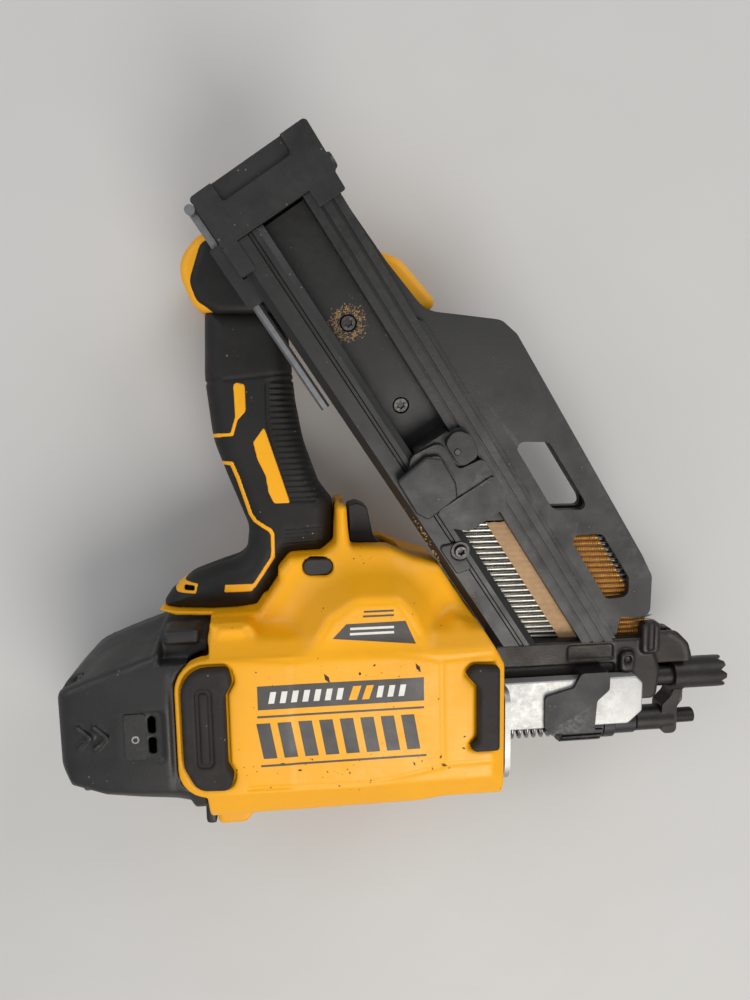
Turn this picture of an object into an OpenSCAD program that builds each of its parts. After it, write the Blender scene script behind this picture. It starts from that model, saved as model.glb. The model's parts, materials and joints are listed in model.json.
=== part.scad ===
// Cordless stick framing nailer with a slanted paper-tape magazine, lying on its right side.
// Tool coordinates: x runs along the driver towards the nose, y from the barrel towards the
// battery foot, z out of the tool's left side. z = 0 is the joint between the two housing halves.

/* [Overall] */
// Half width of the barrel over its flat sides
barrel_half_w = 50; // [46:1:52]
// Height of the rubber pads' faces above the mid plane
pad_z = 55; // [54:0.5:56]
// Rear end of the rear cap
rear_x = -233; // [-240:1:-228]
// Joint between the rear cap and the yellow housing
cap_joint_x = -178; // [-180:1:-176]
// Wall thickness of the mouldings
wall = 3; // [2.4:0.2:3.4]
// Corner radius of the barrel's cross section
barrel_r = 25; // [20:1:28]

/* [Handle and foot] */
// Half thickness of the handle over the rubber grip
handle_half_t = 17.5; // [16:0.5:18]
// Thickness of the rubber grip layer
grip_t = 2.3; // [1.8:0.1:2.6]
// Left face of the battery foot
foot_top_z = 17; // [15:0.5:17]
// Right face of the battery foot, level with the pads
foot_low_z = -55; // [-55:0.5:-52]

/* [Magazine] */
// Slant of the magazine from square to the driver, which is also the nails' collation angle
mag_angle = 33; // [30:0.5:35]
// Cant of the magazine about the driver axis, towards the left side
mag_cant = 9; // [8:0.5:10]
// Half thickness of the magazine over its rails
mag_half_t = 14; // [13:0.5:14.5]
// Far end of the magazine, measured along it
mag_end = 297; // [290:1:300]
// Left (rear) edge of the channel
mag_v0 = 6.5; // [6.5:0.5:8]
// Right edge of the channel, where the front plate starts
mag_v1 = 61.3; // [60:0.5:62]
// Front edge of the front plate
mag_v2 = 99.6; // [98:0.5:102]

/* [Nails] */
// Length of a nail
nail_len = 90; // [75:5:90]
// Diameter of a nail's shank
nail_d = 3.1; // [2.8:0.1:3.1]
// Distance between neighbouring nails, square to them
nail_pitch = 3.2; // [3.2:0.05:3.6]
// Number of nails left on the strip
nail_count = 27; // [5:1:27]

/* [Nose and depth adjuster] */
// Radius of the contact foot's tube
foot_tube_r = 9; // [8.6:0.1:9.2]
// Front end of the toothed contact foot
tip_x = 127; // [122:1:130]
// Distance from the driver axis down to the contact trip's rod
trip_y = -26; // [-27:0.5:-25.5]
// Radius of the depth wheel
wheel_r = 10.5; // [9.5:0.5:10.5]

/* [Drive] */
// Radius of the flywheel
fly_r = 30.5; // [28:0.5:30.5]
// Position of the flywheel along the driver
fly_x = -66; // [-70:1:-60]
// Position of the flywheel's axis below the driver
fly_y = 38; // [38:0.5:40]

/* [Hidden] */
$fn = 48;
gap = 0.3;
cut = 200;
lie_x = -(rear_x + tip_x) / 2;
tab_y = -68;
top_y = 283.4;
lie_y = -(tab_y + top_y) / 2;
lie_z = -foot_low_z;
cap_fit_x = cap_joint_x - 0.1;
nose_y = 27.2;
slot_half = 2.4;
head_v = 14;
row_y0 = 12;
head_d = 7;
head_t = 1.8;
pin_run = 0.05;
housing_front_x = -14;
nose_x = -11;
pad_floor_z = barrel_half_w - 1.5;
shaft_r = 3.5;
key_v = 2.1;

// ---- outline helpers: a point is [x, y, corner radius], counter-clockwise ----
function unit(v) = v / norm(v);
function xy(p) = [p[0], p[1]];
function left_of(e) = [-e[1], e[0]];
function edge(p, i) = unit(xy(p[(i + 1) % len(p)]) - xy(p[i]));
function turn(a, b) = atan2(a[0] * b[1] - a[1] * b[0], a * b);
function inset_point(p, i, d) =
  let (a = left_of(edge(p, (i + len(p) - 1) % len(p))), b = left_of(edge(p, i)),
       s = turn(a, b) >= 0 ? 1 : -1, q = xy(p[i]) + d * (a + b) / (1 + a * b))
  [q[0], q[1], max(0.2, p[i][2] - s * d)];
function inset(p, d) = d == 0 ? p : [for (i = [0:len(p) - 1]) inset_point(p, i, d)];
function corner(p, i, n) =
  let (e1 = edge(p, (i + len(p) - 1) % len(p)), e2 = edge(p, i), t = turn(e1, e2),
       s = t >= 0 ? 1 : -1, a = left_of(e1), b = left_of(e2), r = p[i][2],
       o = xy(p[i]) + s * r * (a + b) / (1 + a * b), a0 = atan2(-s * a[1], -s * a[0]))
  r < 0.3 || abs(t) < 2 ? [xy(p[i])]
    : [for (k = [0:n]) o + r * [cos(a0 + t * k / n), sin(a0 + t * k / n)]];
function rounded(p, n = 5) = [for (i = [0:len(p) - 1]) each corner(p, i, n)];
function box_pts(x0, y0, x1, y1, r) = [[x0, y0, r], [x1, y0, r], [x1, y1, r], [x0, y1, r]];

module plate(p, z0, z1, n = 5) {
  translate([0, 0, z0]) linear_extrude(z1 - z0) polygon(rounded(p, n));
}

// A section drawn in (y, z), extruded along x.
module along_x(p, x0, x1, n = 5) {
  translate([x0, 0, 0]) rotate([90, 0, 90]) linear_extrude(x1 - x0) polygon(rounded(p, n));
}

// An outline drawn in (x, z), extruded along y.
module along_y(p, y0, y1, n = 5) {
  translate([0, y1, 0]) rotate([90, 0, 0]) linear_extrude(y1 - y0) polygon(rounded(p, n));
}

module box(a, b) {
  translate(a) cube(b - a);
}

module rod_x(r, x0, x1, y = 0, z = 0) {
  translate([x0, y, z]) rotate([0, 90, 0]) cylinder(r = r, h = x1 - x0);
}

module rod_z(r, z0, z1, x, y) {
  translate([x, y, z0]) cylinder(r = r, h = z1 - z0);
}

// Lays the tool on its right side with its lowest faces at z = 0.
module lie() {
  translate([lie_x, lie_y, lie_z]) children();
}

// Magazine coordinates: x across it (v), y along it from the driver axis (u), z its thickness.
module mag() {
  rotate([mag_cant, 0, 0]) rotate([0, 0, mag_angle]) children();
}

module mag_clip() {
  intersection() {
    mag() children();
    box([-cut * 2, nose_y, -cut], [cut * 2, cut * 3, cut]);
  }
}

// ---- body outlines ----
// e lengthens the barrel past both of its open ends.
function barrel_side(e) = [[cap_joint_x - e, -46, 0.2], [-150, -47, 20], [-122, -52, 14],
  [-84, -52, 14], [-50, -43, 14], [housing_front_x + e, -39, 0.2], [housing_front_x + e, 26, 0.2],
  if (e > 0) [housing_front_x, 26, 0.2], [-25.5, 46.5, 4], [-60, 48, 4],
  [cap_joint_x - e, 49, 0.2]];
function cap_side(e) = [[rear_x, -42, 16], [-205, -44.5, 12], [cap_fit_x + e, -46, 0.2],
  [cap_fit_x + e, 49, 0.2], [-203, 41, 14], [rear_x, 30, 20]];
function barrel_section(y0, y1) = box_pts(y0, -barrel_half_w, y1, barrel_half_w, barrel_r);
function cap_plan(e) = [[rear_x, -44, 16], [cap_fit_x, -barrel_half_w, 0.2],
  if (e > 0) each [[cap_fit_x + e, -barrel_half_w, 0.2], [cap_fit_x + e, barrel_half_w, 0.2]],
  [cap_fit_x, barrel_half_w, 0.2], [rear_x, 44, 16]];
function barrel_plan(e) = [[cap_joint_x - e, -barrel_half_w, 0.2], [-22, -barrel_half_w, 6],
  [housing_front_x + e, -46, 0.2], [housing_front_x + e, 46, 0.2], [-22, barrel_half_w, 6],
  [cap_joint_x - e, barrel_half_w, 0.2]];
// The strip behind the trigger is solid, so the cavity's outline leaves it out.
function underbody(strip) = [[-160, 30, 1], [-15, 30, 0.2], [-44, 75, 8], [-58, 85, 9],
  if (strip) each [[-90.5, 85, 1], [-92.5, 107, 1], [-96.5, 107, 1], [-97, 86, 2]],
  [-118, 85, 4], [-134, 56, 4], [-160, 52, 2]];
function handle_side() = [[-188, 54, 3], [-150, 51.5, 2], [-134, 53, 2], [-119, 82, 2],
  [-97, 82, 2], [-97, 108, 3], [-105, 119, 10], [-111.5, 140, 60], [-114, 161, 60],
  [-119.5, 208, 6], [-160, 208, 6], [-158.5, 165, 60], [-156, 140, 60], [-148, 118, 40],
  [-140.5, 92, 9], [-142.5, 80, 7], [-171, 71, 12]];
function foot_side() = [[-162, 203.5, 8], [-50, 203.5, 8], [-39, 211, 8], [-57, 238, 14],
  [-100, 243, 30], [-158, 243, 18], [-171, 226, 16]];

// Each solid below is made for one half of the tool: h is 1 for the left half and -1 for the
// right. d insets it, and over carries it past the mid plane.
module slab(p, t_low, t_high, h, over) {
  plate(p, h > 0 ? -over : -t_low, h > 0 ? t_high : over);
}

module barrel_solid(d, h, over = 0, e = 0) {
  intersection() {
    slab(inset(barrel_side(e), d), 60, 60, h, over);
    along_x(inset(barrel_section(-52, 49), d), cap_joint_x - 20, 20);
    along_y(inset(barrel_plan(e), d), -60, 60);
  }
}

// The flywheel's bulge rises in four steps: [height, radius].
DOME_STEPS = [[29, 37.5], [35.5, 35], [41.5, 31.5], [47, 27]];

module dome(d, h, over = 0) {
  for (q = DOME_STEPS) slab([for (k = [0:23]) [fly_x + (q[1] - d) * cos(15 * k + 4),
    43 + (q[1] - d) * sin(15 * k + 4), 0]], q[0] - d, q[0] - d, h, over);
}

module foot(d, h, over = 0) {
  slab(inset(foot_side(), d), -foot_low_z - d, foot_top_z - d, h, over);
}

module handle_core(d, h, over = 0) {
  half_t = handle_half_t - grip_t - d;
  slab(inset(handle_side(), grip_t + d), half_t, half_t, h, over);
}

module hook_tab(h) {
  slab([[-170, tab_y, 5], [-144, tab_y, 7], [-142, -44, 0.2], [-170, -44, 0.2]], 9, 9, h, 0);
}

module underbody_solid(d, h, over = 0) {
  slab(inset(underbody(d == 0), d), 27 - d, 27 - d, h, over);
}

module housing_form(h) {
  barrel_solid(0, h);
  underbody_solid(0, h);
  dome(0, h);
  handle_core(0, h);
  foot(0, h);
  hook_tab(h);
}

module housing_cavity(h) {
  barrel_solid(wall, h, 1, wall + 1);
  underbody_solid(wall, h, 1);
  dome(wall, h, 1);
  handle_core(wall, h, 1);
  foot(wall, h, 1);
}

BOSSES = [[-138, 190], [-137, 150], [-131, 108], [-152, 226], [-62, 222], [-28, -36.5],
  [-162, -38], [-140, 30], [-148, 62]];

module battery_slot() {
  slot_z = (foot_low_z + foot_top_z) / 2;
  box([-166, 236, slot_z - 22], [-40, 250, slot_z + 22]);
  box([-166, 228, slot_z - 27], [-40, 236.01, slot_z + 27]);
}

module trigger_opening() {
  box([-90.2, 70, -10], [-64, 90, 10]);
}

module lock_slot(d) {
  for (x = [-109.4, -102.6]) rod_z(4 + d, -40, 40, x, 77);
  box([-109.4, 73 - d, -40], [-102.6, 81 + d, 40]);
}

module mag_room() {
  mag() box([mag_v0 - 0.8, -20, -mag_half_t - 2], [mag_v2, 120, mag_half_t + 2]);
}

module pad_pockets(h) {
  for (p = [rear_pad_outline(), front_pad_outline()])
    plate(p, h > 0 ? pad_floor_z : -60, h > 0 ? 60 : -pad_floor_z);
}

module housing_shell(h) {
  difference() {
    housing_form(h);
    difference() {
      housing_cavity(h);
      for (b = BOSSES) rod_z(5, -60, 60, b[0], b[1]);
    }
    battery_slot();
    trigger_opening();
    lock_slot(0.2);
    mag_room();
    pad_pockets(h);
    for (b = BOSSES) rod_z(2.05, -60, 12, b[0], b[1]);
  }
}

module left_housing() {
  color("#f2a51d") lie() housing_shell(1);
}

module right_housing() {
  color("#f2a51d") lie() difference() {
    housing_shell(-1);
    for (b = BOSSES) rod_z(3.6, -60, -boss_face(b) + 3, b[0], b[1]);
  }
}

// Depth of the housing's side face at a screw boss.
function boss_face(b) = b[1] > 200 ? 55 : b[1] > 90 ? 15.2 : b[1] > 50 ? 27 : b[1] < -36 ? 44 : 50;

module housing_screws() {
  color("#3a3a3c") lie() for (b = BOSSES) {
    rod_z(2, -boss_face(b) + 2.9, 11, b[0], b[1]);
    rod_z(3.4, -boss_face(b) + 0.6, -boss_face(b) + 2.95, b[0], b[1]);
  }
}

// ---- rubber grip ----
module grip(h) {
  difference() {
    slab(handle_side(), handle_half_t, handle_half_t, h, 0);
    handle_core(0, h, 1);
    underbody_solid(0, h, 1);
    foot(0, h, 1);
    barrel_solid(0, h, 1);
    lock_slot(0.4);
    mag_room();
    for (b = BOSSES) rod_z(3.6, -60, 0, b[0], b[1]);
  }
}

module left_grip() {
  color("#2b2a29") lie() grip(1);
}

module right_grip() {
  color("#2b2a29") lie() grip(-1);
}

// ---- rear cap ----
CAP_SCREWS = [[-26, -34], [26, -34], [-26, 34], [26, 34]];

module cap_form(d, e) {
  intersection() {
    plate(inset(cap_side(e), d), -60, 60);
    along_x(inset(barrel_section(-52, 49), d), rear_x - 1, cap_joint_x + 20);
    along_y(inset(cap_plan(e), d), -60, 60);
  }
}

module rear_cap() {
  color("#3a3836") lie() difference() {
    cap_form(0, 0);
    difference() {
      cap_form(wall, wall + 1);
      for (s = CAP_SCREWS) rod_x(4.5, rear_x, cap_joint_x + 20, s[0], s[1]);
    }
    for (s = CAP_SCREWS) {
      rod_x(2.1, rear_x, cap_joint_x, s[0], s[1]);
      rod_x(3.8, rear_x - 1, -221, s[0], s[1]);
    }
    for (m = [0, 1]) mirror([0, 0, m]) {
      box([-201, -10, 46.6], [-183, 14, 60]);
      for (y = [-6, 3.5]) box([-188.2, y, 40], [-185.6, y + 7.5, 60]);
    }
    for (y = [-24:8:24]) box([rear_x - 1, y, -16], [rear_x + 6, y + 3, 16]);
  }
}

module rear_cap_plate() {
  color("#444240") lie() for (m = [0, 1]) mirror([0, 0, m])
    plate(box_pts(-200.4, -9.4, -190.2, 13.4, 1.5), 46.6, 47.4);
}

module rear_cap_screws() {
  color("#3a3a3c") lie() for (s = CAP_SCREWS) {
    rod_x(3.6, -223.5, -221, s[0], s[1]);
    rod_x(2, -221.05, cap_joint_x - 1, s[0], s[1]);
  }
}

// ---- bumper pads on the sides ----
function rear_pad_outline() = [[-172, -16, 4], [-166, -30, 12], [-148, -31, 4], [-146, -22, 3],
  [-150, -16, 4], [-150, 22, 4], [-147, 28, 3], [-149, 36, 3], [-172, 36, 4]];
function front_pad_outline() = [[-31, -14, 1], [-19, -14, 2], [-19, 29, 2], [-32, 30, 4],
  [-36, 26, 1.5], [-30, 19, 2], [-30, -8, 2], [-34, -12, 0.8]];

module pad(p) {
  intersection() {
    plate(p, pad_floor_z, pad_z);
    along_x(box_pts(-33, -70, 38, pad_z, 4), -180, 0);
  }
}

module left_rear_pad() {
  color("#34312f") lie() pad(rear_pad_outline());
}

module right_rear_pad() {
  color("#34312f") lie() mirror([0, 0, 1]) pad(rear_pad_outline());
}

module left_front_pad() {
  color("#34312f") lie() pad(front_pad_outline());
}

module right_front_pad() {
  color("#34312f") lie() mirror([0, 0, 1]) pad(front_pad_outline());
}

// ---- drive ----
ROD_Z = 16;
PIVOT = [-100, -24];
ROLLER = [-66, -19];

module drive_frame() {
  color("#9da0a3") lie() difference() {
    union() {
      box([-22, -34, -30], [-15, 12, 30]);
      for (m = [0, 1]) mirror([0, 0, m]) {
        plate([[-112, -32, 4], [-22, -32, 0.2], [-22, 12, 0.2], [-38, 40, 6], [-50, 56, 10],
          [-82, 56, 10], [-112, 12, 6]], 26, 30);
      }
    }
    box([-23, -8, -7], [-14, 8, 7]);
    rod_x(shaft_r + 0.3, -30, 0, trip_y, 0);
    for (z = [-ROD_Z, ROD_Z]) rod_x(3, -30, 0, 0, z);
    for (b = NOSE_BOLTS) rod_x(2.1, -30, 0, b[0], b[1]);
    rod_z(11, -40, 40, fly_x, fly_y);
    rod_z(3, -40, 40, PIVOT[0], PIVOT[1]);
    rod_z(5.4, -40, 40, -28, -36.5);
    mag_room();
  }
}

module flywheel_rotor() {
  color("#8c8f93") lie() difference() {
    rod_z(fly_r, -20, 20, fly_x, fly_y, $fn = 96);
    rod_z(24.5, -18, 15, fly_x, fly_y, $fn = 96);
    rod_z(24.5, -20.1, -17.9, fly_x, fly_y, $fn = 96);
    rod_z(4, -40, 40, fly_x, fly_y);
  }
}

// Twelve T-shaped teeth round a hub, drawn as one outline.
TOOTH = [[9, -2.4], [20, -2.4], [20.6, -4.6], [23.4, -4.6], [23.4, 4.6], [20.6, 4.6], [20, 2.4],
  [9, 2.4]];
function spun(p, a) = [p[0] * cos(a) - p[1] * sin(a), p[0] * sin(a) + p[1] * cos(a)];

module motor_stator() {
  color("#b5652b") lie() translate([fly_x, fly_y, 0]) difference() {
    union() {
      translate([0, 0, -16]) linear_extrude(28)
        polygon([for (k = [0:11]) each [for (p = TOOTH) spun(p, 30 * k)]]);
      rod_z(8, -24, -15.5, 0, 0);
      rod_z(22, -25.8, -23.5, 0, 0);
    }
    rod_z(4.6, -40, 40, 0, 0);
  }
}

module motor_shaft() {
  color("#b9bcc0") lie() rod_z(4, -36, 36, fly_x, fly_y);
}

module motor_bearings() {
  color("#a3a6aa") lie() for (z = [-33, 26]) difference() {
    rod_z(10.95, z, z + 7, fly_x, fly_y);
    rod_z(4.05, z - 1, z + 8, fly_x, fly_y);
  }
}

module driver_profile() {
  color("#7d8084") lie() difference() {
    union() {
      box([-156, -7, -6], [-72, 7, 6]);
      box([-73, -3.3, -1.6], [14, 3.3, 1.6]);
      box([-156, -5.5, -22], [-146, 5.5, 22]);
    }
    for (z = [-ROD_Z, ROD_Z]) rod_x(3 + pin_run, -160, -140, 0, z);
  }
}

module guide_rods() {
  color("#c3c6ca") lie() for (z = [-ROD_Z, ROD_Z]) rod_x(3, -172, -15, 0, z);
}

module driver_bumpers() {
  color("#5d3a2a") lie() for (z = [-ROD_Z, ROD_Z]) difference() {
    rod_x(4.2, -46, -22.1, 0, z);
    rod_x(3, -47, -21, 0, z);
  }
}

// A spring drawn as a sleeve with n ridges, one for each turn, standing for the coil.
module spring_x(r, wire, x0, x1, n, y, z) {
  pitch = (x1 - x0) / n;
  ridges = [for (k = [0:n - 1]) each [[r - wire * 0.6, x0 + k * pitch],
    [r, x0 + (k + 0.5) * pitch]]];
  translate([0, y, z]) rotate([0, 90, 0]) rotate_extrude()
    polygon(concat([[r - wire, x1], [r - wire, x0]], ridges, [[r - wire * 0.6, x1]]));
}

module return_springs() {
  color("#aeb1b5") lie() for (z = [-ROD_Z, ROD_Z])
    spring_x(5.8, 1.2, -145.8, -22.2, 20, 0, z);
}

module pinch_arm() {
  color("#8b8e92") lie() difference() {
    union() {
      for (m = [0, 1]) mirror([0, 0, m]) {
        plate([[-104, -38, 3], [-96, -38, 3], [-60, -25, 4], [-60, -13, 4], [-104, -18, 4]], 9, 13);
        rod_z(7, 9, 13, ROLLER[0], ROLLER[1]);
      }
      rod_z(3, -13, 13, ROLLER[0], ROLLER[1]);
      box([-103.5, -37.5, -13], [-98, -31, 13]);
    }
    rod_z(3 + pin_run, -40, 40, PIVOT[0], PIVOT[1]);
  }
}

module pinch_roller() {
  color("#b9bcc0") lie() difference() {
    rod_z(10, -8, 8, ROLLER[0], ROLLER[1]);
    rod_z(3 + pin_run, -9, 9, ROLLER[0], ROLLER[1]);
  }
}

module pinch_pivot_pin() {
  color("#b9bcc0") lie() rod_z(3, -30, 30, PIVOT[0], PIVOT[1]);
}

module solenoid() {
  color("#6e5136") lie() difference() {
    union() {
      rod_x(9, -148, -116, -33, 0);
      box([-149, -43, -10], [-146, -23, 10]);
      box([-118, -43, -10], [-115, -23, 10]);
    }
    rod_x(3.1, -146, -110, -33, 0);
  }
}

module solenoid_plunger() {
  color("#b9bcc0") lie() rod_x(3, -144, -104.2, -33, 0);
}

module controller_module() {
  color("#1f2a24") lie() {
    box([-222, -20, -26], [-206, 20, 26]);
    for (y = [-14, 0, 14]) rod_x(5, -206, -192, y, -14);
    for (y = [-14, 14]) box([-206, y - 5, 6], [-200, y + 5, 18]);
  }
}

// ---- trigger group ----
TRIGGER_PIN = [-82, 76];

module trigger() {
  color("#262524") lie() difference() {
    union() {
      plate([[-87.5, 71, 3], [-77, 71, 3], [-70, 82, 3], [-76, 88, 6], [-79, 104, 3],
        [-84, 106.5, 3], [-89, 105, 2], [-88.5, 82, 3]], -9, 9);
      rod_z(5.5, -9, 9, TRIGGER_PIN[0], TRIGGER_PIN[1]);
    }
    rod_z(1.5 + pin_run, -10, 10, TRIGGER_PIN[0], TRIGGER_PIN[1]);
    box([-86, 84, -6], [-81, 103, 6]);
  }
}

module trigger_pin() {
  color("#b9bcc0") lie() rod_z(1.5, -23.9, 23.9, TRIGGER_PIN[0], TRIGGER_PIN[1]);
}

module trigger_switch() {
  color("#202020") lie() {
    plate(box_pts(-128, 88, -109, 102, 1), -8, 8);
    rod_x(2, -109.2, -103, 97, 0);
  }
}

module lock_off_button() {
  color("#1c1c1c") lie() {
    for (x = [-109.4, -102.6]) rod_z(4, -28.5, 28.5, x, 77);
    box([-109.4, 73, -28.5], [-102.6, 81, 28.5]);
  }
}

module battery_terminal_block() {
  color("#151515") lie() {
    slot_z = (foot_low_z + foot_top_z) / 2;
    box([-120, 212, slot_z - 16], [-80, 228, slot_z + 16]);
    for (k = [-2:2]) box([-116, 228, slot_z + k * 6 - 0.5], [-90, 235, slot_z + k * 6 + 0.5]);
  }
}

// ---- nose ----
module nose_flange() {
  color("#c9cbcd") lie() difference() {
    along_x([[-38, -44, 12], [12, -44, 6], [12, 44, 6], [-38, 44, 12]], housing_front_x + 0.1, nose_x);
    box([-15, -8, -7], [0, 8, 7]);
    rod_x(shaft_r + 0.3, -15, 0, trip_y, 0);
    for (b = NOSE_BOLTS) rod_x(2.1, -15, 0, b[0], b[1]);
  }
}

// The nose is bolted on from inside the drive frame.
NOSE_BOLTS = [[-27, -21], [-27, 21], [8.9, -21], [8.9, 21]];

module nose_bolts() {
  color("#2e2e30") lie() for (b = NOSE_BOLTS) {
    rod_x(3, -25, -22, b[0], b[1]);
    rod_x(2, -22.05, nose_x - 0.3, b[0], b[1]);
  }
}

// Front barrel that the contact foot slides on, and the shield in front of the nail points.
module nose_casting() {
  color("#3b3a3a") lie() difference() {
    union() {
      plate([[nose_x, -9, 0.2], [84, -9, 3], [84, 8, 1], [76, 27, 3], [nose_x, 27, 0.2]], -14, 14);
      rod_x(6.9, 83, 100, 0, 0);
      for (z = [[7.5, 10], [-5.5, -3]])
        plate([[70, 10.2, 0.2], [104, 10.2, 1], [104, 13, 1], [92, 28, 2], [70, 26.5, 0.2]],
          z[0], z[1]);
      plate([[101, 10.2, 0.2], [104, 10.2, 1], [104, 13, 1], [92, 28, 1], [89, 28, 1]],
        -5.5, 10);
    }
    box([nose_x - 1, -8, -7], [29, 8, 7]);
    box([28, -4.2, -4.2], [101, 4.2, 4.2]);
    intersection() {
      mag() box([9, -70, -slot_half - 0.2], [110, 60, slot_half + 0.2]);
      box([-20, 4, -20], [100.5, 40, 20]);
    }
    intersection() {
      mag() box([9.5, -30, -4.4], [18, 60, 4.4]);
      box([-20, 4, -20], [60, 40, 20]);
    }
  }
}

module side_cover() {
  difference() {
    plate([[-10.9, -19, 1], [62, -19, 3], [70, -12, 2], [70, 4, 3], [66, 8, 2], [-10.9, 8, 1]],
      14, 22);
    plate([[-8, -16, 1], [60, -16, 2], [66, -11, 2], [66, 2, 2], [64, 5, 2], [-8, 5, 1]],
      13, 20);
  }
}

module nose_cover_left() {
  color("#d6d8da") lie() side_cover();
}

module nose_cover_right() {
  color("#d6d8da") lie() mirror([0, 0, 1]) side_cover();
}

module nose_clip() {
  color("#2a2a2b") lie() {
    plate([[14, -19, 2], [42, -19, 2], [43, -4, 3], [50, 2, 3], [50, 12, 2], [34, 12, 3],
      [30, 4, 3], [14, 0, 3]], 22, 24.4);
    plate([[14, -21.2, 1], [42, -21.2, 1], [42, -19, 0.2], [14, -19, 0.2]], 12.2, 24.4);
    plate([[34, 9.6, 0.2], [50, 9.6, 0.2], [50, 12, 1], [34, 12, 1]], 14.2, 22.05);
  }
}

// Toothed tube, bracket and threaded stud of the contact trip: one welded piece.
module contact_foot() {
  color("#4a4947") lie() difference() {
    union() {
      rod_x(foot_tube_r, 101, tip_x, 0, 0);
      rod_x(foot_tube_r + 0.9, 96, 102, 0, 0);
      plate([[90, trip_y - 8, 3], [99, trip_y - 8, 3], [99, -18, 3], [101.9, -14, 2],
        [101.9, -7.5, 0.5], [97, -7.5, 0.5], [95, -12, 3], [90, -17, 3]], -6, 6);
      rod_x(7.2, 75, 97, trip_y, 0);
      rod_x(4, 97, 111, trip_y, 0);
    }
    rod_x(7.3, 90, tip_x + 1, 0, 0);
    rod_x(shaft_r + pin_run, 70, 96, trip_y, 0);
    for (k = [0:7]) translate([tip_x, 0, 0]) rotate([45 * k + 22.5, 0, 0])
      along_y([[-3.2, 0, 0], [0.5, -2.6, 0], [0.5, 2.6, 0]], 5, 11);
  }
}

module depth_wheel() {
  color("#2d2c2b") lie() difference() {
    union() {
      rod_x(wheel_r - 1, 28.6, 53.6, trip_y, 0);
      translate([0, trip_y, 0]) for (k = [0:17]) rotate([20 * k, 0, 0])
        box([29.6, wheel_r - 2, -0.9], [52.6, wheel_r, 0.9]);
    }
    rod_x(shaft_r + pin_run, 20, 60, trip_y, 0);
  }
}

module trip_rod() {
  color("#8d9094") lie() rod_x(shaft_r, -40, 90.5, trip_y, 0);
}

module trip_collar() {
  color("#2b2b2b") lie() difference() {
    union() {
      rod_x(9.5, 54.2, 61, trip_y, 0);
      rod_x(8, 60.9, 74, trip_y, 0);
    }
    rod_x(shaft_r, 50, 80, trip_y, 0);
  }
}

module trip_spring() {
  color("#77797c") lie() spring_x(7.5, 1.7, nose_x + 0.2, 28.3, 10, trip_y, 0);
}

// ---- magazine ----
function channel_section() = [[mag_v0, -mag_half_t, 2], [mag_v1 - 0.1, -mag_half_t, 2],
  [mag_v1 - 0.1, -slot_half, 0], [17, -slot_half, 0], [17, -4.4, 0], [11.2, -4.4, 0],
  [11.2, 4.4, 0], [25.3, 4.4, 0], [25.3, mag_half_t - 1.5, 0.5], [22, mag_half_t, 0.5],
  [19.5, mag_half_t, 0], [19, 12.6, 0], [17.6, 12.6, 0], [17.1, mag_half_t, 0],
  [10, mag_half_t, 0], [mag_v0, 11.5, 1]];

// A section drawn in (v, w), extruded along the magazine.
module along_u(p, u0, u1) {
  translate([0, u1, 0]) rotate([90, 0, 0]) linear_extrude(u1 - u0) polygon(rounded(p, 4));
}

FLOOR_SCREWS = [[34, 166.7], [34, 214.6]];
RAIL_SCREW = [18.9, 90.2];

module magazine_body() {
  color("#2f2e2d") lie() mag_clip() difference() {
    along_u(channel_section(), -12, 271.8);
    box([14, 40, -20], [54, 262, -6.5]);
    for (s = FLOOR_SCREWS) {
      rod_z(2.1, -30, 0, s[0], s[1]);
      rod_z(4.2, -4.8, 0, s[0], s[1]);
    }
    rod_z(2.1, 0, 30, RAIL_SCREW[0], RAIL_SCREW[1]);
  }
}

function front_outline() = [[46.6, -2, 0], [62, -12, 1], [72.4, 0.7, 2], [86.5, -9.5, 5],
  [98.6, 12, 6], [mag_v2, 26, 4], [mag_v2, 166, 10], [96.5, 176, 8], [67.5, 200, 16],
  [64, 228, 6], [mag_v1, 271.8, 0], [46.6, 271.8, 0]];
function window_1() = [[71, 77, 5], [86, 67, 2.5], [87.5, 73, 1], [87, 110, 5], [74, 119, 3],
  [71, 116, 2]];
function window_2() = [[70.8, 15, 4], [82, 9, 4], [87.5, 19, 5], [87, 50, 5], [74, 58, 3],
  [71, 55, 2]];

module magazine_front_plate() {
  color("#302f2e") lie() mag_clip() difference() {
    union() {
      plate(front_outline(), -6, 6);
      plate([[46.6, -8, 0], [mag_v1, -14, 0], [mag_v1, 271.8, 0], [46.6, 271.8, 0]],
        slot_half, mag_half_t);
      plate([[mag_v1, -14, 0], [64, -14, 0], [64, 196, 3], [mag_v1, 200, 0]], slot_half, 9.5);
    }
    box([40, -40, -slot_half], [mag_v2 - 4, 280, slot_half]);
    box([40, -40, -20], [mag_v1, 280, slot_half]);
    box([50.5, -40, 12.4], [52, 280, 20]);
    box([56, -40, 12.4], [57.5, 280, 20]);
    plate(window_1(), -20, 20);
    plate(window_2(), -20, 20);
  }
}

module magazine_end_cap() {
  color("#262524") lie() mag() difference() {
    union() {
      plate(box_pts(4.5, 272, 65, mag_end, 2), -15.4, 15.4);
      plate([[4.5, 258, 1], [12, 258, 1], [12, 272.5, 0], [4.5, 272.5, 0]], mag_half_t + 0.05, 15.4);
      plate([[4.5, 258, 1], [6.4, 258, 0.5], [6.4, 272.5, 0], [4.5, 272.5, 0]], -12, 12.7);
      plate([[50, 264, 1], [64, 264, 1], [64, 272.5, 0], [50, 272.5, 0]], 14.1, 15.4);
    }
    box([10, 271, -11], [60, mag_end - 3, 11]);
    plate(box_pts(16, mag_end - 9, 52, mag_end + 2, 2), 12, 20);
    rod_z(2.6, -cut, cut, key_v, mag_end - 3.4);
    translate([58, mag_end - 18.5, 0]) rotate([0, 90, 0]) cylinder(r = 2.6, h = 20);
  }
}

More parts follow.
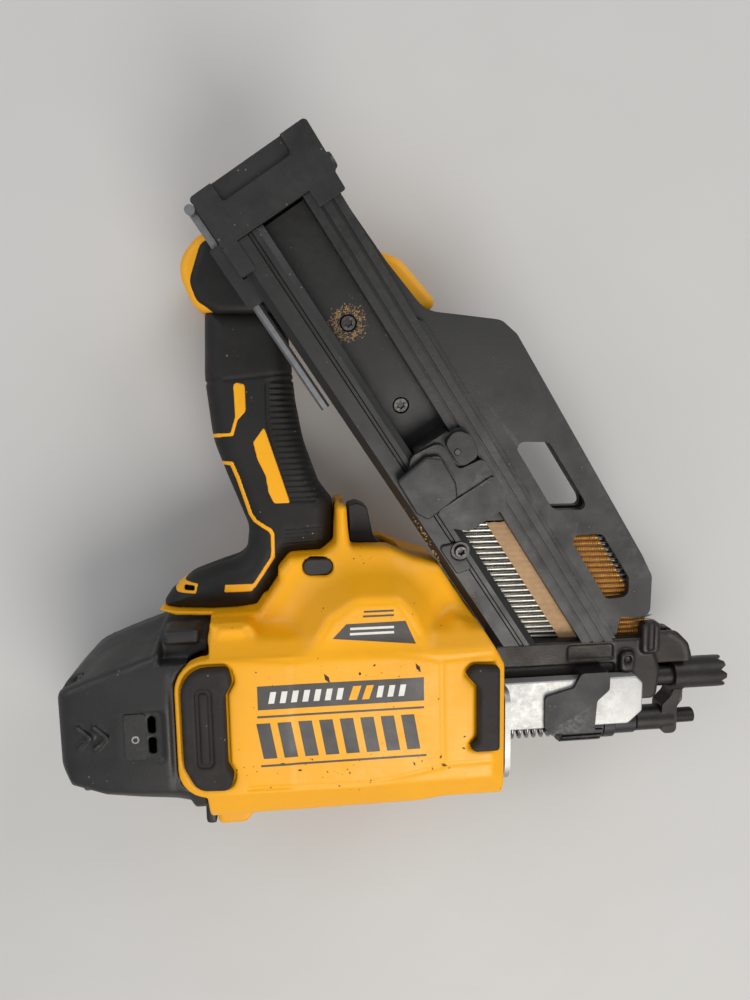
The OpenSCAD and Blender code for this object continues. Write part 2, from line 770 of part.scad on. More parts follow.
module end_cap_bolt() {
  color("#3a3a3c") lie() mag() translate([60.5, mag_end - 18.5, 0]) rotate([0, 90, 0]) {
    cylinder(r = 2.5, h = 5);
    translate([0, 0, 4.6]) cylinder(r = 4.2, h = 3);
  }
}

module magazine_screws() {
  color("#3a3a3c") lie() mag() {
    for (s = FLOOR_SCREWS) difference() {
      union() {
        rod_z(2, -12, -4.6, s[0], s[1]);
        rod_z(4, -4.7, -2.6, s[0], s[1]);
      }
      rod_z(1.7, -4, -2, s[0], s[1], $fn = 6);
    }
    difference() {
      union() {
        rod_z(2, 5, 14.1, RAIL_SCREW[0], RAIL_SCREW[1]);
        rod_z(4.8, 14, 14.8, RAIL_SCREW[0], RAIL_SCREW[1]);
        rod_z(3.4, 14.7, 17, RAIL_SCREW[0], RAIL_SCREW[1]);
      }
      rod_z(1.7, 15.6, 18, RAIL_SCREW[0], RAIL_SCREW[1], $fn = 6);
    }
  }
}

// Post between the foot's left face and the underside of the channel.
module magazine_bracket() {
  color("#2a2928") lie() difference() {
    mag() {
      plate(box_pts(20, 216, 50, 256, 4), -30, -6.5);
    }
    box([-cut * 2, -cut, -cut], [cut, cut * 2, foot_top_z]);
    box([-cut * 2, -cut, -cut], [cut, 205, cut]);
  }
}

// One nail lying along x with its D-shaped head at x = 0.
module nail() {
  rod_x(nail_d / 2, 0, nail_len - 6);
  translate([nail_len - 6, 0, 0]) rotate([0, 90, 0])
    cylinder(r1 = nail_d / 2, r2 = 0.2, h = 6, $fn = 24);
  intersection() {
    rod_x(head_d / 2, 0, head_t);
    box([-1, -head_d / 2, -head_d / 2], [head_t, nail_d / 2, head_d / 2]);
  }
}

function row_y(k) = row_y0 + k * nail_pitch;
function row_x(y) = (head_v - y * sin(mag_angle)) / cos(mag_angle);

module nails() {
  color("#c9c6bf") lie() rotate([mag_cant, 0, 0]) for (k = [0:nail_count - 1])
    translate([row_x(row_y(k)), row_y(k), 0]) nail();
}

module paper_tape() {
  tape_v = 38;
  tape_w = 9.5;
  x0 = tape_v / cos(mag_angle);
  x1 = (tape_v + tape_w) / cos(mag_angle);
  y0 = row_y0 - nail_d / 2;
  y1 = row_y(nail_count - 1) + nail_d / 2;
  s = tan(mag_angle);
  color("#c79a6e") lie() rotate([mag_cant, 0, 0]) for (z = [nail_d / 2, -nail_d / 2 - 0.4])
    plate([[x0 - y0 * s, y0, 0], [x1 - y0 * s, y0, 0], [x1 - y1 * s, y1, 0],
      [x0 - y1 * s, y1, 0]], z, z + 0.4);
}

// ---- pusher ----
LATCH_PIN = [44, 137];

module pusher_carriage() {
  push_y = row_y(nail_count - 1) + nail_d / 2 + 0.6;
  color("#232221") lie() difference() {
    union() {
      intersection() {
        mag() box([17.6, 60, -1.9], [58, 147, 1.9]);
        rotate([mag_cant, 0, 0]) box([-cut, push_y, -20], [cut, cut * 2, 20]);
      }
      mag() {
        plate([[26, 104, 1], [46, 104, 1], [46, 147, 1], [26, 147, 1]], 0, 15);
        plate([[28, 98, 3], [50, 98, 3], [53, 104, 2], [53, 116, 2], [20, 116, 2], [20, 106, 3]],
          mag_half_t + gap, 18.5);
        plate([[20, 116, 3], [53, 116, 1], [53, 126, 3], [40, 128, 3], [40, 145, 5],
          [24, 147, 6], [18, 140, 5], [18, 122, 3]], mag_half_t + gap, 17.2);
        plate([[24, 122, 3], [36, 122, 3], [36, 140, 4], [30, 143, 4], [23, 138, 4]], 17, 20);
        plate(box_pts(40, 128, 53, 146, 4), mag_half_t + gap, 15.4);
      }
    }
    mag() {
      rod_z(1.5, 0, 30, LATCH_PIN[0], LATCH_PIN[1]);
      box([28, 108, 2.6], [44, 122, 13]);
    }
  }
}

module pusher_latch() {
  color("#2a2827") lie() mag() difference() {
    plate([[41, 129, 4], [52, 129, 4], [54, 140, 5], [49, 147, 5], [41, 144, 4]], 15.7, 20.4);
    rod_z(1.5 + pin_run, 0, 30, LATCH_PIN[0], LATCH_PIN[1]);
  }
}

module pusher_latch_pin() {
  color("#8d9094") lie() mag() rod_z(1.5, 9, 20.9, LATCH_PIN[0], LATCH_PIN[1]);
}

module pusher_spring() {
  color("#8f9296") lie() mag() translate([28.5, 115, 7.8]) rotate([0, 90, 0]) difference() {
    cylinder(r = 4.9, h = 15);
    translate([0, 0, -1]) cylinder(r = 2.6, h = 17);
  }
}

// ---- stored hex key ----
module hex_key() {
  color("#9a9c9e") lie() mag() {
    translate([key_v, 187, 0]) rotate([-90, 0, 0])
      cylinder(r = 2.3, h = mag_end - 187 - 3.4, $fn = 6);
    rod_z(2.3, -14, 12, key_v, mag_end - 3.4);
  }
}

module key_holder() {
  color("#2a2928") lie() mag() difference() {
    plate([[-1.6, 245, 1], [mag_v0, 245, 0], [mag_v0, 257.5, 0], [4.2, 257.5, 0],
      [4.2, 276, 0], [-1.6, 276, 1]], -4.5, 4.5);
    translate([key_v, 240, 0]) rotate([-90, 0, 0]) cylinder(r = 2.35, h = 40);
  }
}

left_housing();
right_housing();
left_grip();
right_grip();
rear_cap();
rear_cap_plate();
left_rear_pad();
right_rear_pad();
left_front_pad();
right_front_pad();
housing_screws();
rear_cap_screws();
drive_frame();
flywheel_rotor();
motor_stator();
motor_shaft();
motor_bearings();
driver_profile();
guide_rods();
driver_bumpers();
return_springs();
pinch_arm();
pinch_roller();
pinch_pivot_pin();
solenoid();
solenoid_plunger();
controller_module();
trigger();
trigger_pin();
trigger_switch();
lock_off_button();
battery_terminal_block();
nose_flange();
nose_casting();
nose_cover_left();
nose_cover_right();
nose_clip();
nose_bolts();
contact_foot();
depth_wheel();
trip_rod();
trip_collar();
trip_spring();
magazine_body();
magazine_front_plate();
magazine_end_cap();
magazine_screws();
magazine_bracket();
nails();
paper_tape();
pusher_carriage();
pusher_latch();
pusher_latch_pin();
pusher_spring();
hex_key();
key_holder();
end_cap_bolt();
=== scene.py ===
"""Looks of a cordless strip framing nailer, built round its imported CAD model.

Moulded parts are drawn as distance fields in the tool's own millimetres and meshed. Machined and
extruded parts are copies of the CAD solids with softened edges, with finer detail added.
Tool coordinates: x along the driver towards the nose, y from the barrel towards the battery foot,
z out of the tool's left side. Magazine coordinates: v across it, u along it, w its thickness.
"""

import json
from math import atan2, cos, pi, radians, sin, tan

import bmesh
import bpy
import numpy as np
from mathutils import Matrix, Vector

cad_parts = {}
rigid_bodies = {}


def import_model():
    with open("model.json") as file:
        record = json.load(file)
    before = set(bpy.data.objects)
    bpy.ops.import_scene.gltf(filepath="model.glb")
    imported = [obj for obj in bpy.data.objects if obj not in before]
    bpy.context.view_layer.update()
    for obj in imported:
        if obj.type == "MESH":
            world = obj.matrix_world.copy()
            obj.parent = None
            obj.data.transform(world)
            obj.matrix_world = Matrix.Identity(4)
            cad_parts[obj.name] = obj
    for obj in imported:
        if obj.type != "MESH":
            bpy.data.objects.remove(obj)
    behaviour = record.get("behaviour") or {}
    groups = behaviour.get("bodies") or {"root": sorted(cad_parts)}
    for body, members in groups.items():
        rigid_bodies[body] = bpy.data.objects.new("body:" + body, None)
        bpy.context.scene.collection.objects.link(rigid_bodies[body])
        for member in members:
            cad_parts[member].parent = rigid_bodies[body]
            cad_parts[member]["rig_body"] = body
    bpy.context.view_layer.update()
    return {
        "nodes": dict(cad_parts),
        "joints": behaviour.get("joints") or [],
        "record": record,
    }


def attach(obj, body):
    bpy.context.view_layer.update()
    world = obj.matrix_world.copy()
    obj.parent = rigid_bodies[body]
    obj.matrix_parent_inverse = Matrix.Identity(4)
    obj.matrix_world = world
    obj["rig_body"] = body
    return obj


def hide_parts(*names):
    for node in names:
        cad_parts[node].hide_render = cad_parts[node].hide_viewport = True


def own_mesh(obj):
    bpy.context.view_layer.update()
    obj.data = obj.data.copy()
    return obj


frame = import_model()
JOINT = {j["name"]: j for j in frame["joints"]}

MM = 0.001
MIRROR = (1, 1, -1)
TRIGGER_PIN = (-82, 76, 0)
ORIGIN = Vector(JOINT["trigger_pull"]["pos_m"]) - Vector(TRIGGER_PIN) * MM
MAG_ANGLE = radians(33)
MAG_CANT = radians(9)
TO_ROW = Matrix.Translation(ORIGIN) @ Matrix.Diagonal((MM, MM, MM, 1))
CANT = Matrix.Rotation(MAG_CANT, 4, "X")
MAG = CANT @ Matrix.Rotation(MAG_ANGLE, 4, "Z")
MAG_TURN = np.array(MAG.inverted())
HEAD_V = 14
ROW_Y0 = 12
NAIL_PITCH = 3.2
NAIL_COUNT = 27
NAIL_R = 1.55
TRIP_Y = -26
FACE_Z = 50
CAP_SCREWS = [(y, z) for y in (-26, 26) for z in (-34, 34)]
NOSE_BOLTS = [(y, z) for y in (-27, 8.9) for z in (-21, 21)]
CHANNEL_SCREWS = ((34, 166.7), (34, 214.6))
CHANNEL_FLOOR = -2.38
CLAMP_SCREW = (18.9, 90.2)
PLATE_SCREW = (-195.2, 0.8, 46.7)
END_BOLT_U = 278.5
rng = np.random.default_rng(7)


# ---------------------------------------------------------------- outlines
def unit(v):
    return v / np.linalg.norm(v)


def rounded(points, n=6):
    """An outline from [x, y, corner radius] points, with each corner drawn as an arc."""
    pts = [np.array((p[0], p[1]), float) for p in points]
    out = []
    for i, p in enumerate(points):
        a, b, c = pts[i - 1], pts[i], pts[(i + 1) % len(pts)]
        r = p[2] if len(p) > 2 else 0
        e1, e2 = unit(b - a), unit(c - b)
        t = atan2(e1[0] * e2[1] - e1[1] * e2[0], float(e1 @ e2))
        if r < 0.2 or abs(t) < 0.03:
            out.append(b)
            continue
        s = 1 if t > 0 else -1
        n1, n2 = np.array((-e1[1], e1[0])), np.array((-e2[1], e2[0]))
        centre = b + s * r * (n1 + n2) / (1 + n1 @ n2)
        start = atan2(-s * n1[1], -s * n1[0])
        for k in range(n + 1):
            angle = start + t * k / n
            out.append(centre + r * np.array((cos(angle), sin(angle))))
    return np.array(out)


def rectangle(x0, y0, x1, y1, r=0):
    return [(x0, y0, r), (x1, y0, r), (x1, y1, r), (x0, y1, r)]


def distance_to(outline, u, v):
    """Signed distance from the points (u, v) to an outline, negative inside."""
    best = np.full(np.broadcast(u, v).shape, 1e9, np.float32)
    inside = np.zeros(best.shape, bool)
    for a, b in zip(outline, np.roll(outline, -1, 0)):
        e = b - a
        t = np.clip(((u - a[0]) * e[0] + (v - a[1]) * e[1]) / max(float(e @ e), 1e-9), 0, 1)
        best = np.minimum(best, (u - a[0] - t * e[0]) ** 2 + (v - a[1] - t * e[1]) ** 2)
        if a[1] != b[1]:
            inside ^= ((a[1] > v) != (b[1] > v)) & (u < (b[0] - a[0]) * (v - a[1]) / (b[1] - a[1]) + a[0])
    return np.where(inside, -np.sqrt(best), np.sqrt(best)).astype(np.float32)


def distance_to_line(line, u, v):
    """Distance from the points (u, v) to an open line."""
    best = np.full(np.broadcast(u, v).shape, 1e9, np.float32)
    line = np.array(line, float)
    for a, b in zip(line[:-1], line[1:]):
        e = b - a
        t = np.clip(((u - a[0]) * e[0] + (v - a[1]) * e[1]) / float(e @ e), 0, 1)
        best = np.minimum(best, (u - a[0] - t * e[0]) ** 2 + (v - a[1] - t * e[1]) ** 2)
    return np.sqrt(best)


# ---------------------------------------------------------------- distance fields
class Block:
    """A block of space in tool millimetres, sampled every step, on which solids are drawn."""

    def __init__(self, low, high, step):
        self.low, self.step = np.array(low, float), step
        axes = [np.arange(a, b + step, step, dtype=np.float32) for a, b in zip(low, high)]
        self.ax = axes
        self.x, self.y, self.z = axes[0][:, None, None], axes[1][None, :, None], axes[2][None, None, :]

    def side(self, points):
        """Distance to an outline drawn in (x, y)."""
        return distance_to(rounded(points), self.ax[0][:, None], self.ax[1][None, :])[:, :, None]

    def side_line(self, line):
        return distance_to_line(line, self.ax[0][:, None], self.ax[1][None, :])[:, :, None]

    def plan(self, points):
        """Distance to an outline drawn in (x, z)."""
        return distance_to(rounded(points), self.ax[0][:, None], self.ax[2][None, :])[:, None, :]

    def section(self, points):
        """Distance to an outline drawn in (y, z)."""
        return distance_to(rounded(points), self.ax[1][:, None], self.ax[2][None, :])[None, :, :]

    def plate(self, points, low, high, edge=0.0):
        """An outline drawn in (x, y), carried from z = low to high with rounded edges."""
        return slab(self.side(points), self.z, low, high, edge)

    def pin(self, x, y, r, low, high):
        return slab(np.hypot(self.x - x, self.y - y) - r, self.z, low, high)

    def magazine(self):
        """The magazine's own v and w at every point."""
        return [a * self.x + b * self.y + c * self.z for a, b, c, _ in MAG_TURN[[0, 2]]]


class Mirrored(Block):
    """A block seen with both of its sides folded onto the left one."""

    def __init__(self, b):
        self.x, self.y, self.z, self.ax = b.x, b.y, np.abs(b.z), b.ax


def overlap(field, *others):
    """Where several solids overlap, with sharp edges."""
    for other in others:
        field = np.maximum(field, other)
    return field


def both(a, b, k=0.0):
    """Where two solids overlap, with the edge between them rounded by about k."""
    if k <= 0:
        return np.maximum(a, b)
    h = np.maximum(k - np.abs(a - b), 0)
    return np.maximum(a, b) + h * h / (4 * k)


def either(a, b, k=0.0):
    """Two solids joined, with a fillet of about k between them."""
    if k <= 0:
        return np.minimum(a, b)
    h = np.maximum(k - np.abs(a - b), 0)
    return np.minimum(a, b) - h * h / (4 * k)


def less(a, b, k=0.0):
    return both(a, -b, k)


def slab(flat, t, low, high, r=0.0):
    """An outline's distance carried along t from low to high, its edges rounded to radius r."""
    q0 = flat + r
    q1 = np.abs(t - (low + high) / 2) - (high - low) / 2 + r
    outer = np.sqrt(np.maximum(q0, 0) ** 2 + np.maximum(q1, 0) ** 2)
    return np.minimum(np.maximum(q0, q1), 0) + outer - r


def surface(block, field):
    """The mesh of a field's zero level, one vertex per cell that it crosses: (points, quads)."""
    field = np.ascontiguousarray(field)
    shape = np.array(field.shape)
    strides = np.array((shape[1] * shape[2], shape[2], 1))
    inside = field < 0
    cells, spots, quads, turned = [], [], [], []
    for axis in range(3):
        first, second = [slice(None)] * 3, [slice(None)] * 3
        first[axis], second[axis] = slice(None, -1), slice(1, None)
        first, second = tuple(first), tuple(second)
        idx = np.argwhere(inside[first] != inside[second])
        j, k = (axis + 1) % 3, (axis + 2) % 3
        keep = (idx[:, j] > 0) & (idx[:, k] > 0) & (idx[:, j] < shape[j] - 1) & (idx[:, k] < shape[k] - 1)
        idx = idx[keep]
        a = field[first][tuple(idx.T)]
        b = field[second][tuple(idx.T)]
        at = idx.astype(np.float64)
        at[:, axis] += a / (a - b)
        ids = []
        for dj, dk in ((0, 0), (-1, 0), (-1, -1), (0, -1)):
            cell = idx.copy()
            cell[:, j] += dj
            cell[:, k] += dk
            ids.append(cell @ strides)
            cells.append(ids[-1])
            spots.append(at)
        quads.append(np.stack(ids, 1))
        turned.append(a < 0)
    cells, spots = np.concatenate(cells), np.concatenate(spots)
    unique, inverse = np.unique(cells, return_inverse=True)
    count = np.bincount(inverse)
    points = np.stack([np.bincount(inverse, spots[:, c]) / count for c in range(3)], 1)
    quads, turned = np.concatenate(quads), np.concatenate(turned)
    faces = np.searchsorted(unique, quads)
    faces[turned] = faces[turned][:, ::-1]
    return points * block.step + block.low, faces[:, ::-1]


# ---------------------------------------------------------------- meshes
def add_object(name, mesh):
    obj = bpy.data.objects.new(name, mesh)
    bpy.context.scene.collection.objects.link(obj)
    return obj


def mesh_object(name, points, faces, smooth=True, place=None):
    """A mesh from arrays of points in tool millimetres, or in place's own coordinates."""
    mesh = bpy.data.meshes.new(name)
    move = np.array(TO_ROW @ (place or Matrix.Identity(4)))
    points = np.asarray(points, float) @ move[:3, :3].T + move[:3, 3]
    if isinstance(faces, np.ndarray):
        mesh.vertices.add(len(points))
        mesh.vertices.foreach_set("co", points.astype(np.float32).ravel())
        mesh.loops.add(faces.size)
        mesh.loops.foreach_set("vertex_index", faces.astype(np.int32).ravel())
        mesh.polygons.add(len(faces))
        mesh.polygons.foreach_set("loop_start", np.arange(0, faces.size, faces.shape[1], dtype=np.int32))
        mesh.update(calc_edges=True)
    else:
        mesh.from_pydata(points.tolist(), [], faces)
        mesh.update()
    mesh.validate()
    if smooth:
        mesh.polygons.foreach_set("use_smooth", np.ones(len(mesh.polygons), bool))
    return add_object(name, mesh)


def dress(obj, material, body, slot, *nodes):
    """Gives a piece its material and the body it rides on, and hides the CAD nodes it replaces. The slot
    argument is not used.
    """
    obj.data.materials.clear()
    obj.data.materials.append(material)
    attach(obj, body)
    if nodes:
        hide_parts(*nodes)
    return obj


def solid(name, block, field, material, slot, *nodes, place=None, body="tool"):
    """A dressed piece from a field."""
    obj = mesh_object(name, *surface(block, field), place=place)
    return dress(obj, material, body, slot, *nodes)


def both_sides(name, points, faces, material, slot, part=None):
    """A dressed piece on the tool's left side and its mirror image on the right."""
    for side, flip, turned in (("left", 1, faces), ("right", MIRROR, faces[:, ::-1])):
        nodes = [f"{side}_{part}"] if part else []
        dress(mesh_object(f"{name}_{side}", points * flip, turned), material, "tool", slot, *nodes)


def softened(node, width):
    """A copy of a CAD node with its flat faces joined and its sharp edges rounded."""
    sharp_edge = radians(28)
    source = frame["nodes"][node]
    bm = bmesh.new()
    bm.from_mesh(source.data)
    bmesh.ops.remove_doubles(bm, verts=bm.verts, dist=0.00001)
    bmesh.ops.dissolve_limit(bm, angle_limit=radians(1), verts=bm.verts, edges=bm.edges)
    mesh = bpy.data.meshes.new(node + "_softened")
    bm.to_mesh(mesh)
    bm.free()
    mesh.polygons.foreach_set("use_smooth", np.ones(len(mesh.polygons), bool))
    mesh.set_sharp_from_angle(angle=sharp_edge)
    obj = add_object(node + "_softened", mesh)
    bevel = obj.modifiers.new("edges", "BEVEL")
    bevel.width = width * MM
    bevel.segments = 2
    bevel.limit_method = "ANGLE"
    bevel.angle_limit = sharp_edge
    bevel.use_clamp_overlap = True
    weighted = obj.modifiers.new("shading", "WEIGHTED_NORMAL")
    weighted.mode = "FACE_AREA"
    weighted.weight = 80
    bpy.context.view_layer.update()
    rounded_mesh = bpy.data.meshes.new_from_object(obj.evaluated_get(bpy.context.evaluated_depsgraph_get()))
    obj.modifiers.clear()
    obj.data = rounded_mesh
    return obj


# ---------------------------------------------------------------- materials
def node_of(tree, kind, **values):
    node = tree.nodes.new(kind)
    for key, value in values.items():
        if key in node.inputs:
            node.inputs[key].default_value = value
        else:
            setattr(node, key, value)
    return node


def noise(tree, coords, scale, detail=4.0, rough=0.6):
    node = node_of(tree, "ShaderNodeTexNoise", Scale=scale, Detail=detail, Roughness=rough)
    tree.links.new(coords, node.inputs["Vector"])
    return node.outputs["Fac"]


def ramp(tree, value, low, high, a=0.0, b=1.0):
    """Carries value from the range low..high to a..b, held at both ends."""
    node = node_of(tree, "ShaderNodeMapRange")
    node.inputs["From Min"].default_value, node.inputs["From Max"].default_value = low, high
    node.inputs["To Min"].default_value, node.inputs["To Max"].default_value = a, b
    tree.links.new(value, node.inputs["Value"])
    return node.outputs["Result"]


def combined(tree, operation, a, b):
    node = node_of(tree, "ShaderNodeMath", operation=operation)
    tree.links.new(a, node.inputs[0])
    tree.links.new(b, node.inputs[1])
    return node.outputs[0]


def mixed(tree, factor, a, b):
    """Colour a, with colour b laid over it where factor is 1."""
    node = node_of(tree, "ShaderNodeMix", data_type="RGBA")
    tree.links.new(factor, node.inputs["Factor"])
    for socket, value in ((node.inputs[6], a), (node.inputs[7], b)):
        if isinstance(value, tuple):
            socket.default_value = (*value, 1)
        else:
            tree.links.new(value, socket)
    return node.outputs[2]


def surface_material(name, colour, rough, shade, cloud, grain, bump, metal=0.0, specular=0.5, dirt=None,
        wear=None, specks=None, scratches=0.0):
    """A moulded, cast, machined or rubber surface with cloudy colour, grain, worn edges and dirt.
    Scales are repeats per metre; colours are linear RGB; wear and dirt are (colour, amount)."""
    material = bpy.data.materials.new(name)
    material.use_nodes = True
    tree = material.node_tree
    shader = tree.nodes["Principled BSDF"]
    coords = node_of(tree, "ShaderNodeTexCoord").outputs["Object"]
    dark = tuple(c * (1 - shade) for c in colour)
    light = tuple(min(1.0, c * (1 + shade)) for c in colour)
    paint = mixed(tree, ramp(tree, noise(tree, coords, cloud), 0.3, 0.7), dark, light)
    if dirt:
        grime = ramp(tree, noise(tree, coords, 38, 8, 0.72), 0.52, 0.80, 0, dirt[1])
        paint = mixed(tree, grime, paint, dirt[0])
    if specks:
        cells = node_of(tree, "ShaderNodeTexVoronoi", Scale=330.0)
        tree.links.new(coords, cells.inputs["Vector"])
        spot = ramp(tree, cells.outputs["Distance"], 0.10, 0.16, 1, 0)
        some = ramp(tree, noise(tree, coords, 90, 2), 0.60, 0.66)
        paint = mixed(tree, combined(tree, "MULTIPLY", spot, some), paint, specks)
    if wear:
        point = node_of(tree, "ShaderNodeNewGeometry").outputs["Pointiness"]
        edge = ramp(tree, point, 0.54, 0.66)
        broken = ramp(tree, noise(tree, coords, 240, 6, 0.7), 0.42, 0.62, 0, wear[1])
        paint = mixed(tree, combined(tree, "MULTIPLY", edge, broken), paint, wear[0])
    tree.links.new(paint, shader.inputs["Base Color"])
    shader.inputs["Metallic"].default_value = metal
    shader.inputs["Specular IOR Level"].default_value = specular
    gloss = ramp(tree, noise(tree, coords, 45, 6, 0.65), 0.3, 0.7, rough - 0.12, rough + 0.12)
    tree.links.new(gloss, shader.inputs["Roughness"])
    relief = node_of(tree, "ShaderNodeBump", Strength=bump, Distance=0.0004)
    height = noise(tree, coords, grain, 3)
    if scratches:
        stretch = node_of(tree, "ShaderNodeMapping")
        stretch.inputs["Scale"].default_value = (1.0, 14.0, 5.0)
        stretch.inputs["Rotation"].default_value = (0.3, 0.4, 0.9)
        tree.links.new(coords, stretch.inputs["Vector"])
        lines = ramp(tree, noise(tree, stretch.outputs[0], 120, 5, 0.75), 0.62, 0.68, 0, scratches)
        height = combined(tree, "SUBTRACT", height, lines)
    tree.links.new(height, relief.inputs["Height"])
    tree.links.new(relief.outputs[0], shader.inputs["Normal"])
    return material


SOOT = (0.035, 0.022, 0.012)
DUST = (0.20, 0.17, 0.13)
yellow = surface_material("yellow_plastic", (0.94, 0.42, 0.004), rough=0.42, shade=0.04, cloud=25, grain=1500,
    bump=0.12, dirt=((0.45, 0.17, 0.012), 0.12), specks=SOOT, wear=((0.75, 0.38, 0.06), 0.5), scratches=0.25,
    specular=0.4)
rubber = surface_material("grip_rubber", (0.0095, 0.0088, 0.008), rough=0.58, shade=0.2, cloud=50, grain=2200,
    bump=0.3, dirt=(DUST, 0.035), specks=(0.30, 0.25, 0.18), wear=((0.10, 0.09, 0.08), 0.5), specular=0.35)
pad_rubber = surface_material("pad_rubber", (0.022, 0.019, 0.0165), rough=0.66, shade=0.25, cloud=90,
    grain=1800, bump=0.4, dirt=((0.10, 0.07, 0.05), 0.35), specks=DUST, wear=((0.16, 0.12, 0.09), 0.7),
    scratches=0.4, specular=0.3)
black = surface_material("black_plastic", (0.0115, 0.011, 0.0108), rough=0.46, shade=0.12, cloud=35,
    grain=1700, bump=0.2, dirt=((0.05, 0.043, 0.036), 0.15), specks=(0.14, 0.12, 0.09),
    wear=((0.15, 0.14, 0.13), 0.6), scratches=0.3)
cap_black = surface_material("cap_plastic", (0.0165, 0.0155, 0.015), rough=0.48, shade=0.1, cloud=30,
    grain=1500, bump=0.28, dirt=((0.06, 0.05, 0.045), 0.12), specks=(0.14, 0.12, 0.10),
    wear=((0.16, 0.15, 0.14), 0.6), scratches=0.2)
magazine_black = surface_material("magazine_plastic", (0.0112, 0.0108, 0.0102), rough=0.44, shade=0.14,
    cloud=30, grain=1500, bump=0.15, dirt=((0.045, 0.04, 0.035), 0.18), specks=(0.13, 0.11, 0.08),
    wear=((0.075, 0.073, 0.070), 0.6), scratches=0.5)
blackened = surface_material("blackened_steel", (0.032, 0.029, 0.026), rough=0.42, metal=0.6, shade=0.2,
    cloud=120, grain=1100, bump=0.3, dirt=((0.085, 0.058, 0.034), 0.3), wear=((0.30, 0.27, 0.24), 0.6),
    scratches=0.3)
dark_screw = surface_material("dark_screw", (0.06, 0.058, 0.056), rough=0.4, metal=0.8, shade=0.25, cloud=400,
    grain=2500, bump=0.2, wear=((0.4, 0.38, 0.36), 0.7))
steel = surface_material("ground_steel", (0.36, 0.355, 0.34), rough=0.38, metal=1.0, shade=0.12, cloud=150,
    grain=2400, bump=0.12, dirt=((0.16, 0.12, 0.08), 0.4), scratches=0.4)
spring_wire = surface_material("spring_wire", (0.30, 0.29, 0.28), rough=0.34, metal=1.0, shade=0.2, cloud=300,
    grain=2400, bump=0.1, dirt=((0.10, 0.07, 0.05), 0.5))
cast = surface_material("cast_aluminium", (0.45, 0.45, 0.44), rough=0.5, metal=0.8, shade=0.1, cloud=90,
    grain=900, bump=0.35, dirt=((0.3, 0.26, 0.21), 0.25))
cover_bright = surface_material("bright_cover", (0.47, 0.465, 0.45), rough=0.46, metal=0.45, shade=0.06,
    cloud=60, grain=1300, bump=0.15, dirt=((0.38, 0.33, 0.27), 0.18), wear=((0.8, 0.8, 0.79), 0.5),
    scratches=0.35)
copper = surface_material("enamelled_copper", (0.42, 0.16, 0.05), rough=0.35, metal=0.6, shade=0.2, cloud=400,
    grain=1800, bump=0.4)
board_green = surface_material("potted_board", (0.02, 0.075, 0.04), rough=0.35, shade=0.2, cloud=300,
    grain=900, bump=0.15)
bumper_brown = surface_material("bumper_rubber", (0.12, 0.05, 0.03), rough=0.6, shade=0.2, cloud=200,
    grain=1600, bump=0.3)
paper = surface_material("tape_paper", (0.56, 0.36, 0.20), rough=0.85, shade=0.10, cloud=320, grain=1400,
    bump=0.5, dirt=((0.36, 0.22, 0.12), 0.5), specular=0.15)
zinc = surface_material("zinc_nail", (0.36, 0.345, 0.315), rough=0.3, metal=1.0, shade=0.14, cloud=500,
    grain=1500, bump=0.15, dirt=((0.28, 0.22, 0.14), 0.4))
gilt = surface_material("nail_coating", (0.44, 0.205, 0.038), rough=0.36, metal=0.6, shade=0.2, cloud=500,
    grain=1500, bump=0.2, dirt=((0.20, 0.12, 0.05), 0.4))
print_black = surface_material("printed_panel", (0.050, 0.045, 0.042), rough=0.45, shade=0.12, cloud=200,
    grain=1800, bump=0.12, dirt=((0.14, 0.10, 0.06), 0.3))
print_white = surface_material("printed_white", (0.78, 0.76, 0.70), rough=0.45, shade=0.05, cloud=200,
    grain=1800, bump=0.1, dirt=((0.4, 0.3, 0.2), 0.3))
sawdust = surface_material("sawdust", (0.50, 0.31, 0.14), rough=0.9, shade=0.35, cloud=900, grain=2000,
    bump=0.4, specular=0.1)
chip_brown = surface_material("paint_chip", (0.05, 0.028, 0.012), rough=0.7, shade=0.3, cloud=900, grain=2000,
    bump=0.3)
key_grey = surface_material("key_steel", (0.20, 0.205, 0.215), rough=0.5, metal=0.5, shade=0.15, cloud=300,
    grain=2000, bump=0.15, dirt=((0.1, 0.09, 0.08), 0.3))

SLOT_MATERIAL = {"yellow_housing": yellow, "rubber_grip": rubber, "rubber_pad": pad_rubber,
    "black_moulding": black, "magazine_plastic": magazine_black, "dark_screw": dark_screw,
    "cast_aluminium": cast, "machined_steel": steel, "copper_winding": copper, "bumper_rubber": bumper_brown,
    "spring_steel": spring_wire, "circuit_board": board_green, "blackened_steel": blackened,
    "bright_cover": cover_bright, "zinc_nail": zinc, "paper": paper}
NODE_SLOT = {s["node"]: s["material_slot"] for s in frame["record"]["subparts"]}
NODE_BODY = {n: o["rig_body"] for n, o in frame["nodes"].items()}


def paint_cad_nodes():
    for name, obj in frame["nodes"].items():
        obj.data.materials.clear()
        obj.data.materials.append(SLOT_MATERIAL[NODE_SLOT[name]])


# ---------------------------------------------------------------- camera, floor and light
def add_camera():
    place = Vector((-0.0617, 0.0484, 0.4415))
    right, up = Vector((0.9941, -0.0161, 0.1074)), Vector((0.0295, 0.9918, -0.1244))
    data = bpy.data.cameras.new("camera")
    data.lens, data.sensor_width, data.clip_start = 26.17, 36, 0.01
    camera = bpy.data.objects.new("camera", data)
    bpy.context.scene.collection.objects.link(camera)
    back = right.cross(up).normalized()
    up = back.cross(right).normalized()
    camera.matrix_world = Matrix((right.normalized(), up, back)).transposed().to_4x4()
    camera.matrix_world.translation = place
    bpy.context.scene.camera = camera


